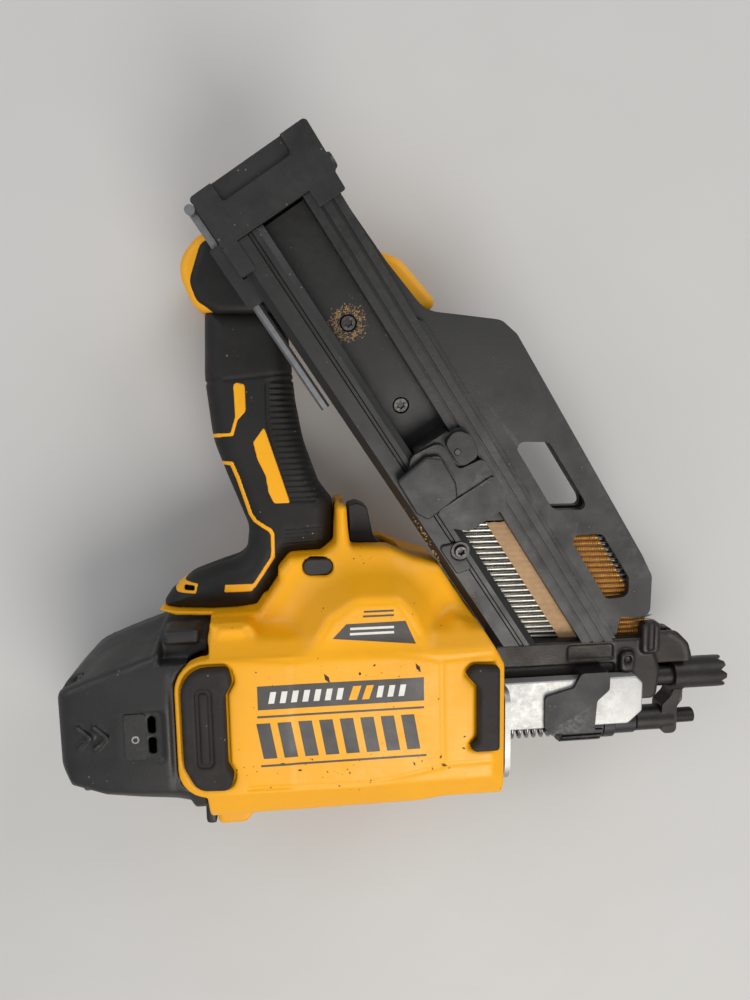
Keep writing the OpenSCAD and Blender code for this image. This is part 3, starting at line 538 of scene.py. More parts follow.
def add_floor():
    mesh = bpy.data.meshes.new("floor")
    half, drop = 3.0, 0.0004
    corners = [(-half, -half), (half, -half), (half, half), (-half, half)]
    mesh.from_pydata([(x, y, -drop) for x, y in corners], [], [(0, 1, 2, 3)])
    floor = add_object("floor", mesh)
    floor.data.materials.append(surface_material("floor", (0.60, 0.59, 0.57), rough=0.75, shade=0.02, cloud=6,
        grain=500, bump=0.05, specular=0.25))


def add_light(name, place, size, power, colour=(1, 1, 1)):
    """A round area light aimed at the origin."""
    data = bpy.data.lights.new(name, "AREA")
    data.shape, data.size, data.energy, data.color = "DISK", size, power, colour
    light = bpy.data.objects.new(name, data)
    bpy.context.scene.collection.objects.link(light)
    light.location = place
    light.rotation_euler = (-Vector(place)).to_track_quat("-Z", "Y").to_euler()


def add_studio():
    world = bpy.data.worlds.new("studio")
    world.use_nodes = True
    world.node_tree.nodes["Background"].inputs["Color"].default_value = (0.86, 0.88, 0.92, 1)
    world.node_tree.nodes["Background"].inputs["Strength"].default_value = 0.38
    bpy.context.scene.world = world
    add_light("key", (0.25, -0.75, 1.1), 0.8, 10, (1.0, 0.97, 0.92))
    add_light("fill", (-0.9, 0.5, 0.9), 1.0, 4.5, (0.92, 0.95, 1.0))
    add_light("rim", (0.7, 0.8, 0.8), 0.7, 4)
    bpy.context.scene.view_settings.view_transform = "Standard"


# ---------------------------------------------------------------- moulded body
FRONT_X = -14
# Housing screws: x, y and the height of the face round each head
BOSSES = ((-138, 190, 15.2), (-137, 150, 15.2), (-131, 108, 15.2), (-152, 226, 55), (-62, 222, 55),
    (-28, -36.5, 44), (-162, -38, 44), (-140, 30, FACE_Z), (-148, 62, 27))
REAR_PAD = [(-172.4, -12, 10), (-166.5, -24.2, 8), (-151, -25, 4), (-149, -18, 3), (-151.8, -12.5, 3),
    (-151.8, 22, 4), (-148.5, 28, 3), (-150, 35.6, 3), (-172.4, 35.6, 12)]
FRONT_PAD = [(-31, -14, 1), (-19, -14, 2), (-19, 29, 2), (-32, 30, 4), (-36, 26, 1.5), (-30, 19, 2),
    (-30, -8, 2), (-34, -12, 0.8)]
UNDERBODY = [(-160, 30), (-15, 30), (-32, 55, 4), (-43, 75, 6), (-57, 79, 6), (-70, 85, 6), (-89.5, 85.5, 3),
    (-90.6, 106.5, 1), (-92, 107.5, 1), (-95, 107.5, 1), (-96.3, 106.5, 1), (-96.8, 88, 3), (-104, 82.5, 3),
    (-120, 82, 3), (-126, 75, 3), (-126, 70, 3), (-137, 54, 3), (-160, 53)]
LOCK_SLOT = rectangle(-113.6, 72.7, -98.4, 81.3, 4.2)


def grown(points, d):
    """An outline's points moved outwards by d along its corners."""
    pts = [np.array(p[:2], float) for p in points]
    out = []
    for i, p in enumerate(points):
        e1, e2 = unit(pts[i] - pts[i - 1]), unit(pts[(i + 1) % len(pts)] - pts[i])
        n1, n2 = np.array((e1[1], -e1[0])), np.array((e2[1], -e2[0]))
        q = pts[i] + d * (n1 + n2) / (1 + n1 @ n2)
        turn = e1[0] * e2[1] - e1[1] * e2[0]
        out.append((q[0], q[1], max(0, (p[2] if len(p) > 2 else 0) + (d if turn > 0 else -d))))
    return out


def barrel_field(b):
    """The left half's outer form: barrel, flywheel bulge, underbody, hook tab and rear loop."""
    side = b.side([(-163, -47), (-139, -48, 4), (-115, -51.5, 8), (-105, -53, 8), (-80, -53, 12),
        (-58, -46, 10), (-46, -42.5, 8), (FRONT_X, -43, 2), (FRONT_X, 27, 3), (-25.5, 46.5, 5), (-60, 48, 4),
        (-159.5, 49, 1), (-159.5, 0), (-163, -10)])
    section = b.section([(-29, -50, 7), (37, -50, 6), (46, -42, 8), (50, -20, 8), (50, 20, 8), (46, 42, 8),
        (37, 50, 6), (-29, 50, 7), (-45, 40, 12), (-54, 18, 10), (-54, -18, 10), (-45, -40, 12)])
    plan = b.plan([(-190, -60), (-21, -60), (-21, -49.5, 3), (FRONT_X, -45, 3), (FRONT_X, 45, 3),
        (-21, 49.5, 3), (-21, 60), (-190, 60)])
    barrel = both(both(side, section, 1.5), plan, 2)
    loop = b.plate([(-176, -30.5, 15), (-120, -30.5), (-120, 38.5), (-176, 38.5, 15)], 18, FACE_Z, 2.2)
    barrel = either(barrel, loop, 1.0)
    under = b.plate(UNDERBODY, -30, 27, 4.5)
    shelf = b.plate([(-159.5, 36), (-137, 36), (-137.5, 50, 5), (-141, 53.2, 3), (-159.5, 53.2, 0.5)], -10,
        41, 3.5)
    top = b.side([(-112, 40), (-54, 40), (-60.5, 56, 7), (-68, 64, 8), (-88, 64.5, 9), (-102, 56, 10)])
    bulge = both(top * 0.78 + (b.z - 47.2) * 0.62, b.z - 47.2, 2.5)
    bulge = both(bulge, b.side(UNDERBODY) + 0.5, 3)
    knob = b.plate([(-46, 36), (-29, 36), (-30, 45, 5), (-35, 50, 6), (-42, 50, 6)], -10, 40, 5)
    body = either(either(under, shelf, 2.5), bulge, 9)
    body = less(body, both(0.4 - b.side(UNDERBODY), 62 - b.y), 1.5)
    body = either(body, knob, 7)
    body = either(body, barrel, 4)
    tab = b.plate([(-163.2, -68, 3), (-148, -68, 4), (-143, -62, 4), (-140, -46), (-163.2, -46)], -9, 9, 1.5)
    body = either(body, tab, 1.5)
    return body


def barrel_cuts(b, body):
    """Pockets, grooves and openings cut into the left half's outer form."""
    body = less(body, b.plate(grown(REAR_PAD, 1.1), 48.2, 70), 0.6)
    body = less(body, b.plate(grown(FRONT_PAD, 0.9), 48.2, 70), 0.6)
    panel = [(-47.5, 33.5), (-47, -21), (-17, -20.5)]
    upper = [(-143, 38.5), (-120, 36.6), (-84, 39.4), (-60, 35.8), (-48, 33.2), (-17, 35)]
    lower = [(-143, -26.4), (-85, -28), (-60, -24.2), (-47, -21.6)]
    for line in (panel, upper, lower):
        groove = np.sqrt(b.side_line(line) ** 2 + (b.z - FACE_Z - 0.35) ** 2) - 1.05
        body = less(body, groove, 0.5)
    body = less(body, b.plate(LOCK_SLOT, 20, 60), 0.8)
    frame_top = [(-106, 45.5), (-100.5, 54.5), (-88.5, 62.5), (-69, 62.3), (-63.5, 54.5), (-58, 44.5)]
    border = np.sqrt(b.side_line(frame_top) ** 2 + (b.z - 47.6) ** 2) - 0.95
    body = less(body, border, 0.5)
    v, w = b.magazine()
    body = less(body, overlap(5.6 - v, np.abs(w) - 16.5), 0.5)
    emboss = b.plate(rectangle(-155.5, 46, -142.5, 51.6, 2.2), 40, 42.0, 0.6)
    return either(body, emboss, 0.8)


def body_halves():
    b = Block((-179, -71, -2), (-10, 111, 52), 1.0)
    outer = barrel_field(b)
    hollow = outer + 3.0
    body = barrel_cuts(b, outer)
    mouth = b.plate([(-200, -36), (0, -36), (0, 24), (-28, 42), (-200, 42)], -40, 40)
    hollow = either(hollow, overlap(mouth, b.x - 17, -200 - b.x))
    trigger = b.plate(rectangle(-92.8, 66.5, -62, 112), -10.8, 10.8)
    nose = b.plate(rectangle(-30, -34, 0, 14), -30, 30)
    shell = less(less(less(body, hollow), trigger), nose)
    shell = both(shell, -b.z)
    solid("housing_left", b, shell, yellow, "yellow_housing", "left_housing")
    for x, y, face in BOSSES:
        shell = less(shell, b.pin(x, y, 3.7, face - 3, 70))
    points, faces = surface(b, shell)
    right = mesh_object("housing_right", points * MIRROR, faces[:, ::-1])
    dress(right, yellow, "tool", "yellow_housing", "right_housing")


def foot_body():
    b = Block((-174, 198, -57), (-36, 246, 19), 1.0)
    outline = [(-162, 203.5, 9), (-48, 203.5, 4), (-41, 207, 4), (-61, 230, 16), (-103, 243, 30),
        (-158, 243, 18), (-171, 226, 16)]
    foot = b.plate(outline, -55, 17, 4)
    seam = np.maximum(np.abs(b.z) - 0.6, -(b.side(outline) + 1.0))
    foot = less(foot, seam, 0.4)
    slot_z = -19
    mouth = b.plate(rectangle(-166, 236, -30, 260), slot_z - 22, slot_z + 22)
    room = b.plate(rectangle(-166, 228, -30, 236.5), slot_z - 27, slot_z + 27)
    hollow = b.plate(grown(outline, -3), -52, 14)
    foot = less(less(less(foot, mouth, 0.6), room), both(hollow, b.y - 225))
    for x, y, _ in BOSSES[3:5]:
        foot = less(foot, b.pin(x, y, 3.7, -70, -52))
    solid("foot_body", b, foot, yellow, "yellow_housing")
    sleeve = b.plate([(-165, 218, 9), (-161.5, 208, 7), (-152, 202.5, 6), (-112, 202.5, 2), (-108, 212, 2),
        (-108, 236, 3), (-158, 238.5, 7)], 6, 18.8, 4)
    solid("foot_sleeve", b, sleeve, rubber, "rubber_grip")


# ---------------------------------------------------------------- rubber grip
HANDLE = [(-188, 54.5, 3), (-178, 53.2, 6), (-160, 52.6, 3), (-137, 53.4, 3), (-125.2, 70, 3),
    (-125.2, 74.6, 3), (-119.6, 81.2, 3), (-104, 81.8, 3), (-97.6, 87, 2), (-97, 108, 2), (-104, 118, 12),
    (-111.5, 140, 60), (-115, 161, 60), (-118.5, 206, 6), (-158.5, 206, 4), (-160, 172, 60), (-157, 141, 50),
    (-151, 124, 40), (-140.5, 96, 14), (-142.5, 80.5, 10), (-156, 76.5, 20), (-171, 71.5, 14), (-183, 62, 8)]
RIBBED = [(-129, 170, 3), (-129, 150, 3), (-120.5, 109.5, 3), (-90, 109.5), (-90, 172)]
FINE_RIBS = [(-122.8, 97, 1.5), (-124.4, 85.4, 1.5), (-103.9, 84, 1.5), (-102.3, 97.6, 1.5)]
PATCH_A = [(-145.4, 169.6, 2), (-139.4, 168.5, 1.5), (-139.4, 155, 2), (-143.6, 150.6, 1), (-146, 142.8, 1),
    (-158, 141.8), (-158, 144.2), (-147.6, 144.4, 1), (-145, 152.4, 1)]
PANEL = [(-131, 147, 0.5), (-136.6, 139.6, 2), (-134.8, 131, 2), (-131, 122.6, 1.5), (-129.8, 114, 2),
    (-127.2, 108.3, 1.5), (-119.2, 108.3, 0.3), (-119.4, 110, 0.3), (-130, 145, 0.3)]
LINE_B = [(-153.6, 129.3), (-147.6, 129.1), (-144.5, 121), (-139.2, 103), (-137, 99.6), (-129.4, 94.6),
    (-128.4, 92.5), (-128.6, 80.6), (-138.9, 65.8)]
BAR_B = [(-138, 67.4, 1), (-153.6, 67.4, 0.5), (-153.9, 63.0, 0.5), (-139.6, 63.0, 1)]
TAIL_MARK = [(-180.4, 65.0, 0.6), (-176, 68.7, 0.8), (-167, 67.8, 0.6), (-168.2, 62.5, 0.6),
    (-178.6, 63.0, 0.6)]
TAIL_HOLE = rectangle(-174.6, 64.2, -169.0, 66.6, 0.6)


def grip_form(b):
    """The handle's rubber: an oval section that thins towards the tail."""
    thick = 17.4 - 3.0 * np.clip((-150 - b.x) / 35, 0, 1) * np.clip((100 - b.y) / 30, 0, 1)
    return b.plate(HANDLE, -thick, thick, 11.0)


def rubber_grips():
    b = Block((-189.5, 50, -1.2), (-95, 208, 19), 0.65)
    form = grip_form(b)
    ribs = np.clip(-b.side(RIBBED) / 1.5, 0, 1) * np.clip((b.z - 1) / 3, 0, 1)
    skin = form + ribs * (0.45 - 0.5 * np.cos(b.y * (2 * pi / 2.9)))
    fine = np.clip(-b.side(FINE_RIBS) / 1.0, 0, 1) * np.clip((b.z - 1) / 3, 0, 1)
    skin = skin + fine * (0.22 - 0.22 * np.cos((b.y - 0.05 * b.x) * pi))
    ring = np.maximum(np.abs(b.side(RIBBED)) - 0.7, b.x + 106)
    skin = less(skin, both(ring, -(form + 0.9)), 0.4)
    fold = np.maximum(np.abs(b.y - 171.5 - 0.1 * (b.x + 140)) - 0.6, -(form + 0.6))
    skin = less(skin, fold, 0.8)
    slot = b.plate(grown(LOCK_SLOT, 0.4), -5, 60)
    yellow_side = slab(b.side(UNDERBODY) - 0.25, b.z, -30, 40)
    skin = less(less(skin, slot), yellow_side)
    skin = less(skin, b.plate(TAIL_HOLE, 8, 40))
    skin = both(skin, -b.z)
    both_sides("grip", *surface(b, skin), rubber, "rubber_grip", "grip")
    line = b.side_line(LINE_B) - 1.15
    marks = either(either(b.side(PATCH_A), b.side(PANEL)), either(line, b.side(BAR_B)))
    tail = both(b.side(TAIL_MARK), -b.side(TAIL_HOLE))
    marks = either(marks, tail)
    inlay = both(both(form - 0.32, marks, 0.4), -(form + 1.6))
    inlay = both(inlay, 1.5 - b.z)
    both_sides("grip_marks", *surface(b, inlay), yellow, "yellow_housing")
    lip = [(-186.5, 56.2, 0.5), (-186.5, 55.4, 0.4), (-178.6, 52.4, 3), (-160, 51.4, 1), (-136, 52.2, 0.5),
        (-136, 54, 0.5), (-160, 53.6, 1), (-178, 54.4, 3)]
    edge = b.plate(lip, -18, 17.6, 0.6)
    solid("grip_lip", b, both(edge, -b.z), yellow, "yellow_housing")


# ---------------------------------------------------------------- rear cap and pads
def cap_section(b):
    return b.section([(-27, -46.5, 4), (-12, -48.6, 2), (17, -48.6, 2), (41, -45, 4), (49, -26, 8),
        (49, 26, 8), (41, 45, 4), (17, 48.6, 2), (-12, 48.6, 2), (-27, 46.5, 4), (-41, 38, 8), (-47, 18, 8),
        (-47, -18, 8), (-41, -38, 8)])


def cap_slopes(b):
    """The long chamfers along the cap's upper and lower edges."""
    z = np.abs(b.z)
    top = np.interp(b.x + 0.24 * z, (-245, -235, -221.5, -207, -195, -186, -160),
        (10, 22, 35, 41, 45.5, 48.5, 58))
    top = top - 0.26 * z + np.clip((b.x + 186) * 4, 0, 40)
    low = np.interp(b.x - 0.27 * z, (-248, -243.4, -238.7, -223, -206, -188, -172),
        (-18, -34, -45, -51, -53.5, -55.5, -60))
    low = low + 0.54 * z - np.clip((b.x + 172) * 3, 0, 40)
    return np.maximum((b.y - top) / 1.15, (low - b.y) / 1.2)


def rear_cap_piece():
    b = Block((-235, -71, -56), (-140, 58, 56), 1.1)
    side = b.side([(-233, -41, 12), (-222, -44, 10), (-205, -45, 12), (-178, -46.5, 4), (-164, -47),
        (-164, 38), (-159.8, 38), (-159.8, 53.4, 1), (-165, 54.2, 1), (-186, 52.6, 4), (-194, 46.6, 8),
        (-206, 43.6, 10), (-220, 36, 14), (-233, 26, 10)])
    plan = b.plan([(-233, -43.5, 9), (-178, -49, 1), (-150, -49), (-150, 49), (-178, 49, 1), (-233, 43.5, 9)])
    slopes = cap_slopes(b)
    cap = both(both(both(side, cap_section(b), 1.2), plan, 2), slopes, 3.5)
    folded = Mirrored(b)
    z = folded.z
    cap = less(cap, overlap(-178.5 - b.x, 46.4 - z), 1.5)
    cap = less(cap, overlap(-183 - b.x, 36 - b.y, 35.5 - z), 2.0)
    rib = folded.plate(rectangle(-181.6, 43.6, -165, 50.4, 1.5), 20, 38.5, 1.2)
    cap = either(cap, rib, 0.8)
    body = barrel_field(folded)
    cap = less(cap, body - 0.35)
    tab = b.plate([(-169.6, -67.6, 2.5), (-164.0, -67.6, 1), (-164.0, -40), (-169.6, -40)], -8.6, 8.6, 1)
    cap = either(cap, tab, 0.8)
    cap = less(cap, folded.plate(rectangle(-202, -10.4, -182, 14.4, 2.2), 46.7, 60), 0.6)
    for y in (-7.2, 3.2):
        cap = less(cap, folded.plate(rectangle(-189.2, y, -185.8, y + 8.4, 1.4), 40, 60))
    hollow = both(both(b.side([(-230, -38), (-205, -42), (-176, -43), (-160, -43), (-160, 46), (-180, 46),
        (-203, 38), (-230, 26)]), cap_section(b) + 3), np.maximum(plan, slopes) + 3)
    hollow = less(hollow, overlap(-187 - b.x, 32 - b.y, 31 - z))
    outer = cap
    cap = less(cap, hollow)
    for y in range(-24, 17, 8):
        cap = less(cap, overlap(np.abs(b.y - y - 1.5) - 1.5, z - 16, b.x + 227), 0.4)
    for screw_y, screw_z in CAP_SCREWS:
        reach = np.hypot(b.y - screw_y, b.z - screw_z)
        post = overlap(reach - 6.2, b.x + 190, -231 - b.x, outer)
        cap = less(either(cap, post), overlap(reach - 3.9, b.x + 221))
    for x in (-222, -214):
        chevron = b.side_line([(x, 8), (x + 6, 2.6), (x, -2.8)])
        mark = np.sqrt(chevron ** 2 + (z - 45.9 - 0.115 * (b.x + 222)) ** 2) - 1.15
        cap = either(cap, mark, 0.6)
    solid("rear_cap_shell", b, cap, cap_black, "black_moulding", "rear_cap")


def pads():
    b = Block((-175, -33, 46), (-143, 39, 57), 0.6)
    pad = b.plate(REAR_PAD, 47, 54.9, 2.4)
    rib = b.plate(rectangle(-163.9, -10.5, -159.9, 24.5, 1.6), 48, 60)
    moat = b.plate(rectangle(-165.7, -12.5, -158.1, 26.5, 2.6), 53.7, 60)
    pad = less(pad, less(moat, rib), 0.8)
    both_sides("pad_rear", *surface(b, pad), pad_rubber, "rubber_pad", "rear_pad")
    b = Block((-38, -17, 46), (-16, 33, 57), 0.6)
    pad = b.plate(FRONT_PAD, 47, 54.4, 2.2)
    both_sides("pad_front", *surface(b, pad), pad_rubber, "rubber_pad", "front_pad")


# ---------------------------------------------------------------- turned, wound and threaded parts
def circle(n):
    return [(cos(2 * pi * k / n), sin(2 * pi * k / n)) for k in range(n)]


def tube_faces(rows, n, flip=False):
    """Quads between rows of n points each, and a face over each end."""
    faces = [(i * n + k, (i + 1) * n + k, (i + 1) * n + (k + 1) % n, i * n + (k + 1) % n)
        for i in range(rows - 1) for k in range(n)]
    faces += [tuple(range(n)), tuple(range((rows - 1) * n, rows * n))[::-1]]
    return [face[:1] + face[:0:-1] for face in faces] if flip else faces


def lathe(profile, n=24):
    """Points and faces of a profile of (x, r) turned round x."""
    return [(x, r * c, r * s) for x, r in profile for c, s in circle(n)], tube_faces(len(profile), n)


def joined(parts):
    """Several (points, faces) lists as one."""
    points, faces = [], []
    for p, f in parts:
        base = len(points)
        points.extend(p)
        faces.extend(tuple(i + base for i in face) for face in f)
    return points, faces


def moved(part, offset, turn=None):
    matrix = turn if turn is not None else Matrix.Identity(4)
    return [tuple(matrix @ Vector(p) + Vector(offset)) for p in part[0]], part[1]


def sharp(obj, angle=30):
    obj.data.set_sharp_from_angle(angle=radians(angle))
    return obj


def coil(r, wire, x0, x1, turns, y=0, z=0):
    """A round wire wound on radius r along x, with one closed turn at each end."""
    steps, sides = int(turns * 26), 8
    points = []
    pitch = (x1 - x0 - 6 * wire) / (turns - 2)
    for i in range(steps + 1):
        t = turns * i / steps
        x = x0 + wire + 2 * wire * (min(t, 1) + max(t - turns + 1, 0)) + pitch * min(max(t - 1, 0), turns - 2)
        for c, s in circle(sides):
            reach = r + wire * c
            points.append((x + wire * s, reach * cos(2 * pi * t) + y, reach * sin(2 * pi * t) + z))
    return points, tube_faces(steps + 1, sides, flip=True)


def thread(r, depth, pitch, x0, x1, y):
    """A rod along x with a helical thread and chamfered ends."""
    n, rows = 32, int((x1 - x0) / (pitch / 8))
    points = []
    for i in range(rows + 1):
        x = x0 + (x1 - x0) * i / rows
        for k, (c, s) in enumerate(circle(n)):
            phase = (x / pitch - k / n) % 1
            cut = depth * abs(2 * phase - 1) if 0 < i < rows else depth * 1.6
            points.append((x, (r - cut) * c + y, (r - cut) * s))
    return points, tube_faces(rows + 1, n)


def screw_head(r, height, socket, depth, lobes=6, washer=0.0):
    """A screw head standing on z = 0 with a star (six lobes) or hexagon (lobes = 0) socket."""
    n = 48
    outline = [(r, 0), (r, height * 0.62), (r * 0.86, height)]
    if washer:
        outline = [(washer, 0), (washer, 0.8), (r, 0.85)] + outline[1:]
    points = [(q * c, q * s, z) for q, z in outline for c, s in circle(n)]
    star = []
    for k, (c, s) in enumerate(circle(n)):
        a = 2 * pi * k / n
        if lobes:
            q = socket * (1 + 0.13 * cos(lobes * a))
        else:
            q = socket * cos(pi / 6) / cos((a + pi / 6) % (pi / 3) - pi / 6)
        star.append((q * c, q * s))
    points += [(x, y, height) for x, y in star] + [(x * 0.96, y * 0.96, height - depth) for x, y in star]
    return points, tube_faces(len(points) // n, n, flip=True)


def screw(head, spot, turn=None, shank=None, r=1.9, n=12):
    """A head put at spot, with a shank along its axis from shank[0] to shank[1]."""
    parts = [head]
    if shank:
        points, faces = lathe([(end, r) for end in shank], n)
        parts.append(([(p, q, end) for end, p, q in points], faces))
    return moved(joined(parts), spot, turn)


def spring_piece(name, node, parts):
    """Coils dressed as a spring piece on a mesh of their own, in place of the spring's CAD node."""
    obj = dress(mesh_object(name, *parts), spring_wire, "tool", "spring_steel", node)
    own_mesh(obj)


def springs():
    low, high = -10.7, 28.2
    parts = coil(6.8, 0.8, low, high, 10, y=TRIP_Y)
    spring_piece("trip_coil", "trip_spring", parts)
    low, high = -145.7, -22.3
    parts = joined([coil(5.2, 0.55, low, high, 20, z=z) for z in (-16, 16)])
    spring_piece("return_coils", "return_springs", parts)


# ---------------------------------------------------------------- nails and tape
def row_place(k):
    y = ROW_Y0 + k * NAIL_PITCH
    return (HEAD_V - y * sin(MAG_ANGLE)) / cos(MAG_ANGLE), y


def nail_strip():
    """Clipped-head ring nails: zinc shanks, a lacquered front third and bright points."""
    shank = lathe([(1.7, NAIL_R)] + [(x, NAIL_R) for x in np.linspace(3, 44, 10)] + [(45, NAIL_R)], 12)
    rings = [(45 + 0.42 * i, NAIL_R - (0.0, 0.05, 0.26)[i % 3]) for i in range(92)]
    front = lathe([(44.9, NAIL_R)] + rings + [(84.0, NAIL_R)], 12)
    point = lathe([(83.9, NAIL_R), (86.5, 1.05), (89.7, 0.12)], 12)
    head = []
    for x in (0.1, 0.25, 1.5, 1.75):
        rim = 3.45 if 0.2 < x < 1.6 else 3.2
        head += [(x, max(-rim, min(NAIL_R - 0.05, rim * c)), rim * s) for c, s in circle(24)]
    head_part = head, tube_faces(4, 24)
    pieces = {"nail_shanks": [], "nail_rings": [], "nail_points": []}
    for k in range(NAIL_COUNT):
        x, y = row_place(k)
        tilt = Matrix.Rotation(rng.uniform(-0.0012, 0.0012), 4, "Y")
        spot = (x + rng.uniform(-0.2, 0.0), y, 0)
        pieces["nail_shanks"] += [moved(shank, spot, tilt), moved(head_part, spot, tilt)]
        pieces["nail_rings"].append(moved(front, spot, tilt))
        pieces["nail_points"].append(moved(point, spot, tilt))
    for (name, parts), material in zip(pieces.items(), (zinc, gilt, steel)):
        obj = sharp(mesh_object(name, *joined(parts), place=CANT), 40)
        dress(obj, material, "tool", "zinc_nail", *(["nails"] if name == "nail_shanks" else []))


def tape():
    """The two paper strips, pressed a little between the nails and torn off behind the last one."""
    y0, y1 = ROW_Y0 - NAIL_R + 0.1, ROW_Y0 + (NAIL_COUNT - 1) * NAIL_PITCH + NAIL_R - 0.1
    nu, nv = 160, 14
    parts = []
    for side in (1, -1):
        points, faces = [], []
        tear = np.convolve(rng.uniform(-0.9, 0.9, nv + 5), (0.25, 0.5, 0.25), "same")
        for i in range(nu + 1):
            for j in range(nv + 1):
                end = y1 - abs(tear[j + 2]) * 1.1
                y = y0 + (end - y0) * i / nu
                v = 38.05 + 9.4 * j / nv
                wave = 0.10 * cos(2 * pi * (y - ROW_Y0) / NAIL_PITCH)
                for lift in (1.60, 1.90):
                    points.append((v / cos(MAG_ANGLE) - y * tan(MAG_ANGLE), y, side * (lift + wave - 0.06)))
        w = (nv + 1) * 2
        for i in range(nu):
            for j in range(nv):
                a = i * w + j * 2
                for lift, flip in ((0, False), (1, True)):
                    q = (a + lift, a + 2 + lift, a + w + 2 + lift, a + w + lift)
                    faces.append(q[::-1] if flip != (side < 0) else q)
        corners = [(i * w + j * 2, w) for i in range(nu) for j in (0, nv)]
        corners += [(i * w + j * 2, 2) for i in (0, nu) for j in range(nv)]
        faces += [(a, a + 1, a + step + 1, a + step) for a, step in corners]
        parts.append((points, faces))
    obj = sharp(mesh_object("tape_strips", *joined(parts), place=CANT), 40)
    dress(obj, paper, "tool", "paper", "paper_tape")


# ---------------------------------------------------------------- screws
def screws():
    back = Matrix.Rotation(-pi / 2, 4, "Y")
    head = screw_head(3.35, 2.3, 1.75, 1.6)
    under = Matrix.Rotation(pi, 4, "X")
    housing = [screw(head, (x, y, 2.95 - face), under, (-face - 7.95, 0.05)) for x, y, face in BOSSES]
    head = screw_head(3.55, 2.4, 1.8, 1.7)
    cap = [screw(head, (-221.05, y, z), back, (-41.85, -0.05)) for y, z in CAP_SCREWS]
    head = screw_head(3.9, 2.0, 1.85, 1.5)
    magazine = [screw(head, (*spot, -4.65), None, (-7.25, 0.05)) for spot in CHANNEL_SCREWS]
    magazine.append(screw(screw_head(3.3, 2.9, 1.75, 2.0, washer=4.7), (*CLAMP_SCREW, 14.05)))
    head = screw_head(2.9, 2.9, 1.5, 1.8)
    nose = [screw(head, (-22.05, y, z), back, (-10.65, -0.05), n=16) for y, z in NOSE_BOLTS]
    head = screw_head(4.1, 2.9, 2.2, 2.0, lobes=0)
    end = [screw(head, (65.15, END_BOLT_U, 0), Matrix.Rotation(pi / 2, 4, "Y"), (-4.55, 0.15), 2.4, 16)]
    plate = [screw(screw_head(2.1, 0.9, 1.1, 0.6), PLATE_SCREW)]
    for name, parts, place, nodes in (("housing_screw_heads", housing, None, ["housing_screws"]),
            ("cap_screw_heads", cap, None, ["rear_cap_screws"]), ("magazine_screw_heads", magazine, MAG,
            ["magazine_screws"]), ("nose_bolt_heads", nose, None, ["nose_bolts"]),
            ("end_bolt_head", end, MAG, ["end_cap_bolt"]), ("cap_plate_screw", plate, None, [])):
        obj = sharp(mesh_object(name, *joined(parts), place=place))
        dress(obj, dark_screw if nodes else steel, "tool", "dark_screw", *nodes)


# ---------------------------------------------------------------- softened copies of CAD solids
SOFT = {"magazine_body": (0.35, magazine_black), "magazine_front_plate": (0.45, magazine_black),
    "magazine_end_cap": (0.6, black), "magazine_bracket": (0.5, black), "pusher_carriage": (0.6, black),
    "pusher_latch": (0.6, black), "nose_flange": (0.4, cast), "pusher_latch_pin": (0.2, dark_screw),
    "nose_cover_left": (1.1, cover_bright), "nose_cover_right": (1.1, cover_bright),
    "nose_clip": (0.35, black), "depth_wheel": (0.3, black), "trip_collar": (0.5, black),
    "trip_rod": (0.5, steel), "trigger": (0.9, black), "lock_off_button": (0.6, black),
    "rear_cap_plate": (0.25, cap_black), "hex_key": (0.25, key_grey), "key_holder": (0.4, black),
    "contact_foot": (0.5, blackened), "battery_terminal_block": (0.4, black)}


def nose_block():
    """The nose casting with its posts, its shielded point guide and the tube the foot slides on."""
    b = Block((-13, -12, -16), (107, 39, 19), 0.7)
    form = b.plate([(-11, -9), (82, -9, 4), (84, 8, 3), (77, 27, 4), (-11, 27)], -14, 14, 1.4)
    step = b.plate(rectangle(-14, -12, 57, 13.2, 2), 12.4, 30)
    rim = b.plate(rectangle(30, 15.5, 56, 24, 2), 12.9, 30)
    form = less(less(form, step, 1.0), rim, 0.8)
    form = either(form, b.plate(rectangle(71.5, 18, 82.5, 36, 3), 9, 16.5, 2), 1.5)
    form = less(form, b.plate(rectangle(75.4, 20, 78.6, 40, 1), 15.4, 30), 0.8)
    form = either(form, b.plate(rectangle(58.8, 8.5, 67.4, 20.5, 3.4), 9, 18, 1.6), 1.5)
    form = less(form, b.pin(63.1, 15.8, 2.1, 16.2, 30), 0.5)
    arc = [(70, 10.2), (102.5, 10.2, 1.5), (104, 14, 3), (102, 21, 6), (95, 28, 5), (84, 29, 3),
        (70, 26.5, 1)]
    for low, high in ((7.5, 10.6), (-5.5, -2.6)):
        form = either(form, b.plate(arc, low, high, 1.0), 1.0)
    lip = [(100.6, 10.2), (104, 10.2), (104, 14, 3), (102, 21, 6), (95, 28, 5), (90, 28.6), (90, 26),
        (97, 22, 4), (100, 16, 3)]
    form = either(form, b.plate(lip, -5.5, 10.6, 1.0), 0.8)
    form = either(form, overlap(np.hypot(b.y, b.z) - 6.9, np.abs(b.x - 91) - 9), 0.6)
    v, w = b.magazine()
    form = less(form, overlap(np.abs(w) - 2.6, 9 - v, 4 - b.y, b.x - 100.5), 0.3)
    form = less(form, overlap(np.abs(w) - 4.4, np.abs(v - 13.7) - 4.3, 4 - b.y), 0.3)
    form = less(form, overlap(np.abs(b.y) - 4.2, np.abs(b.z) - 4.2, 28 - b.x))
    form = less(form, overlap(np.abs(b.y) - 8, np.abs(b.z) - 7, b.x - 29))
    solid("nose_block", b, form, blackened, NODE_SLOT["nose_casting"], "nose_casting")


def softened_parts():
    for node, (width, material) in SOFT.items():
        dress(softened(node, width), material, NODE_BODY[node], NODE_SLOT[node], node)


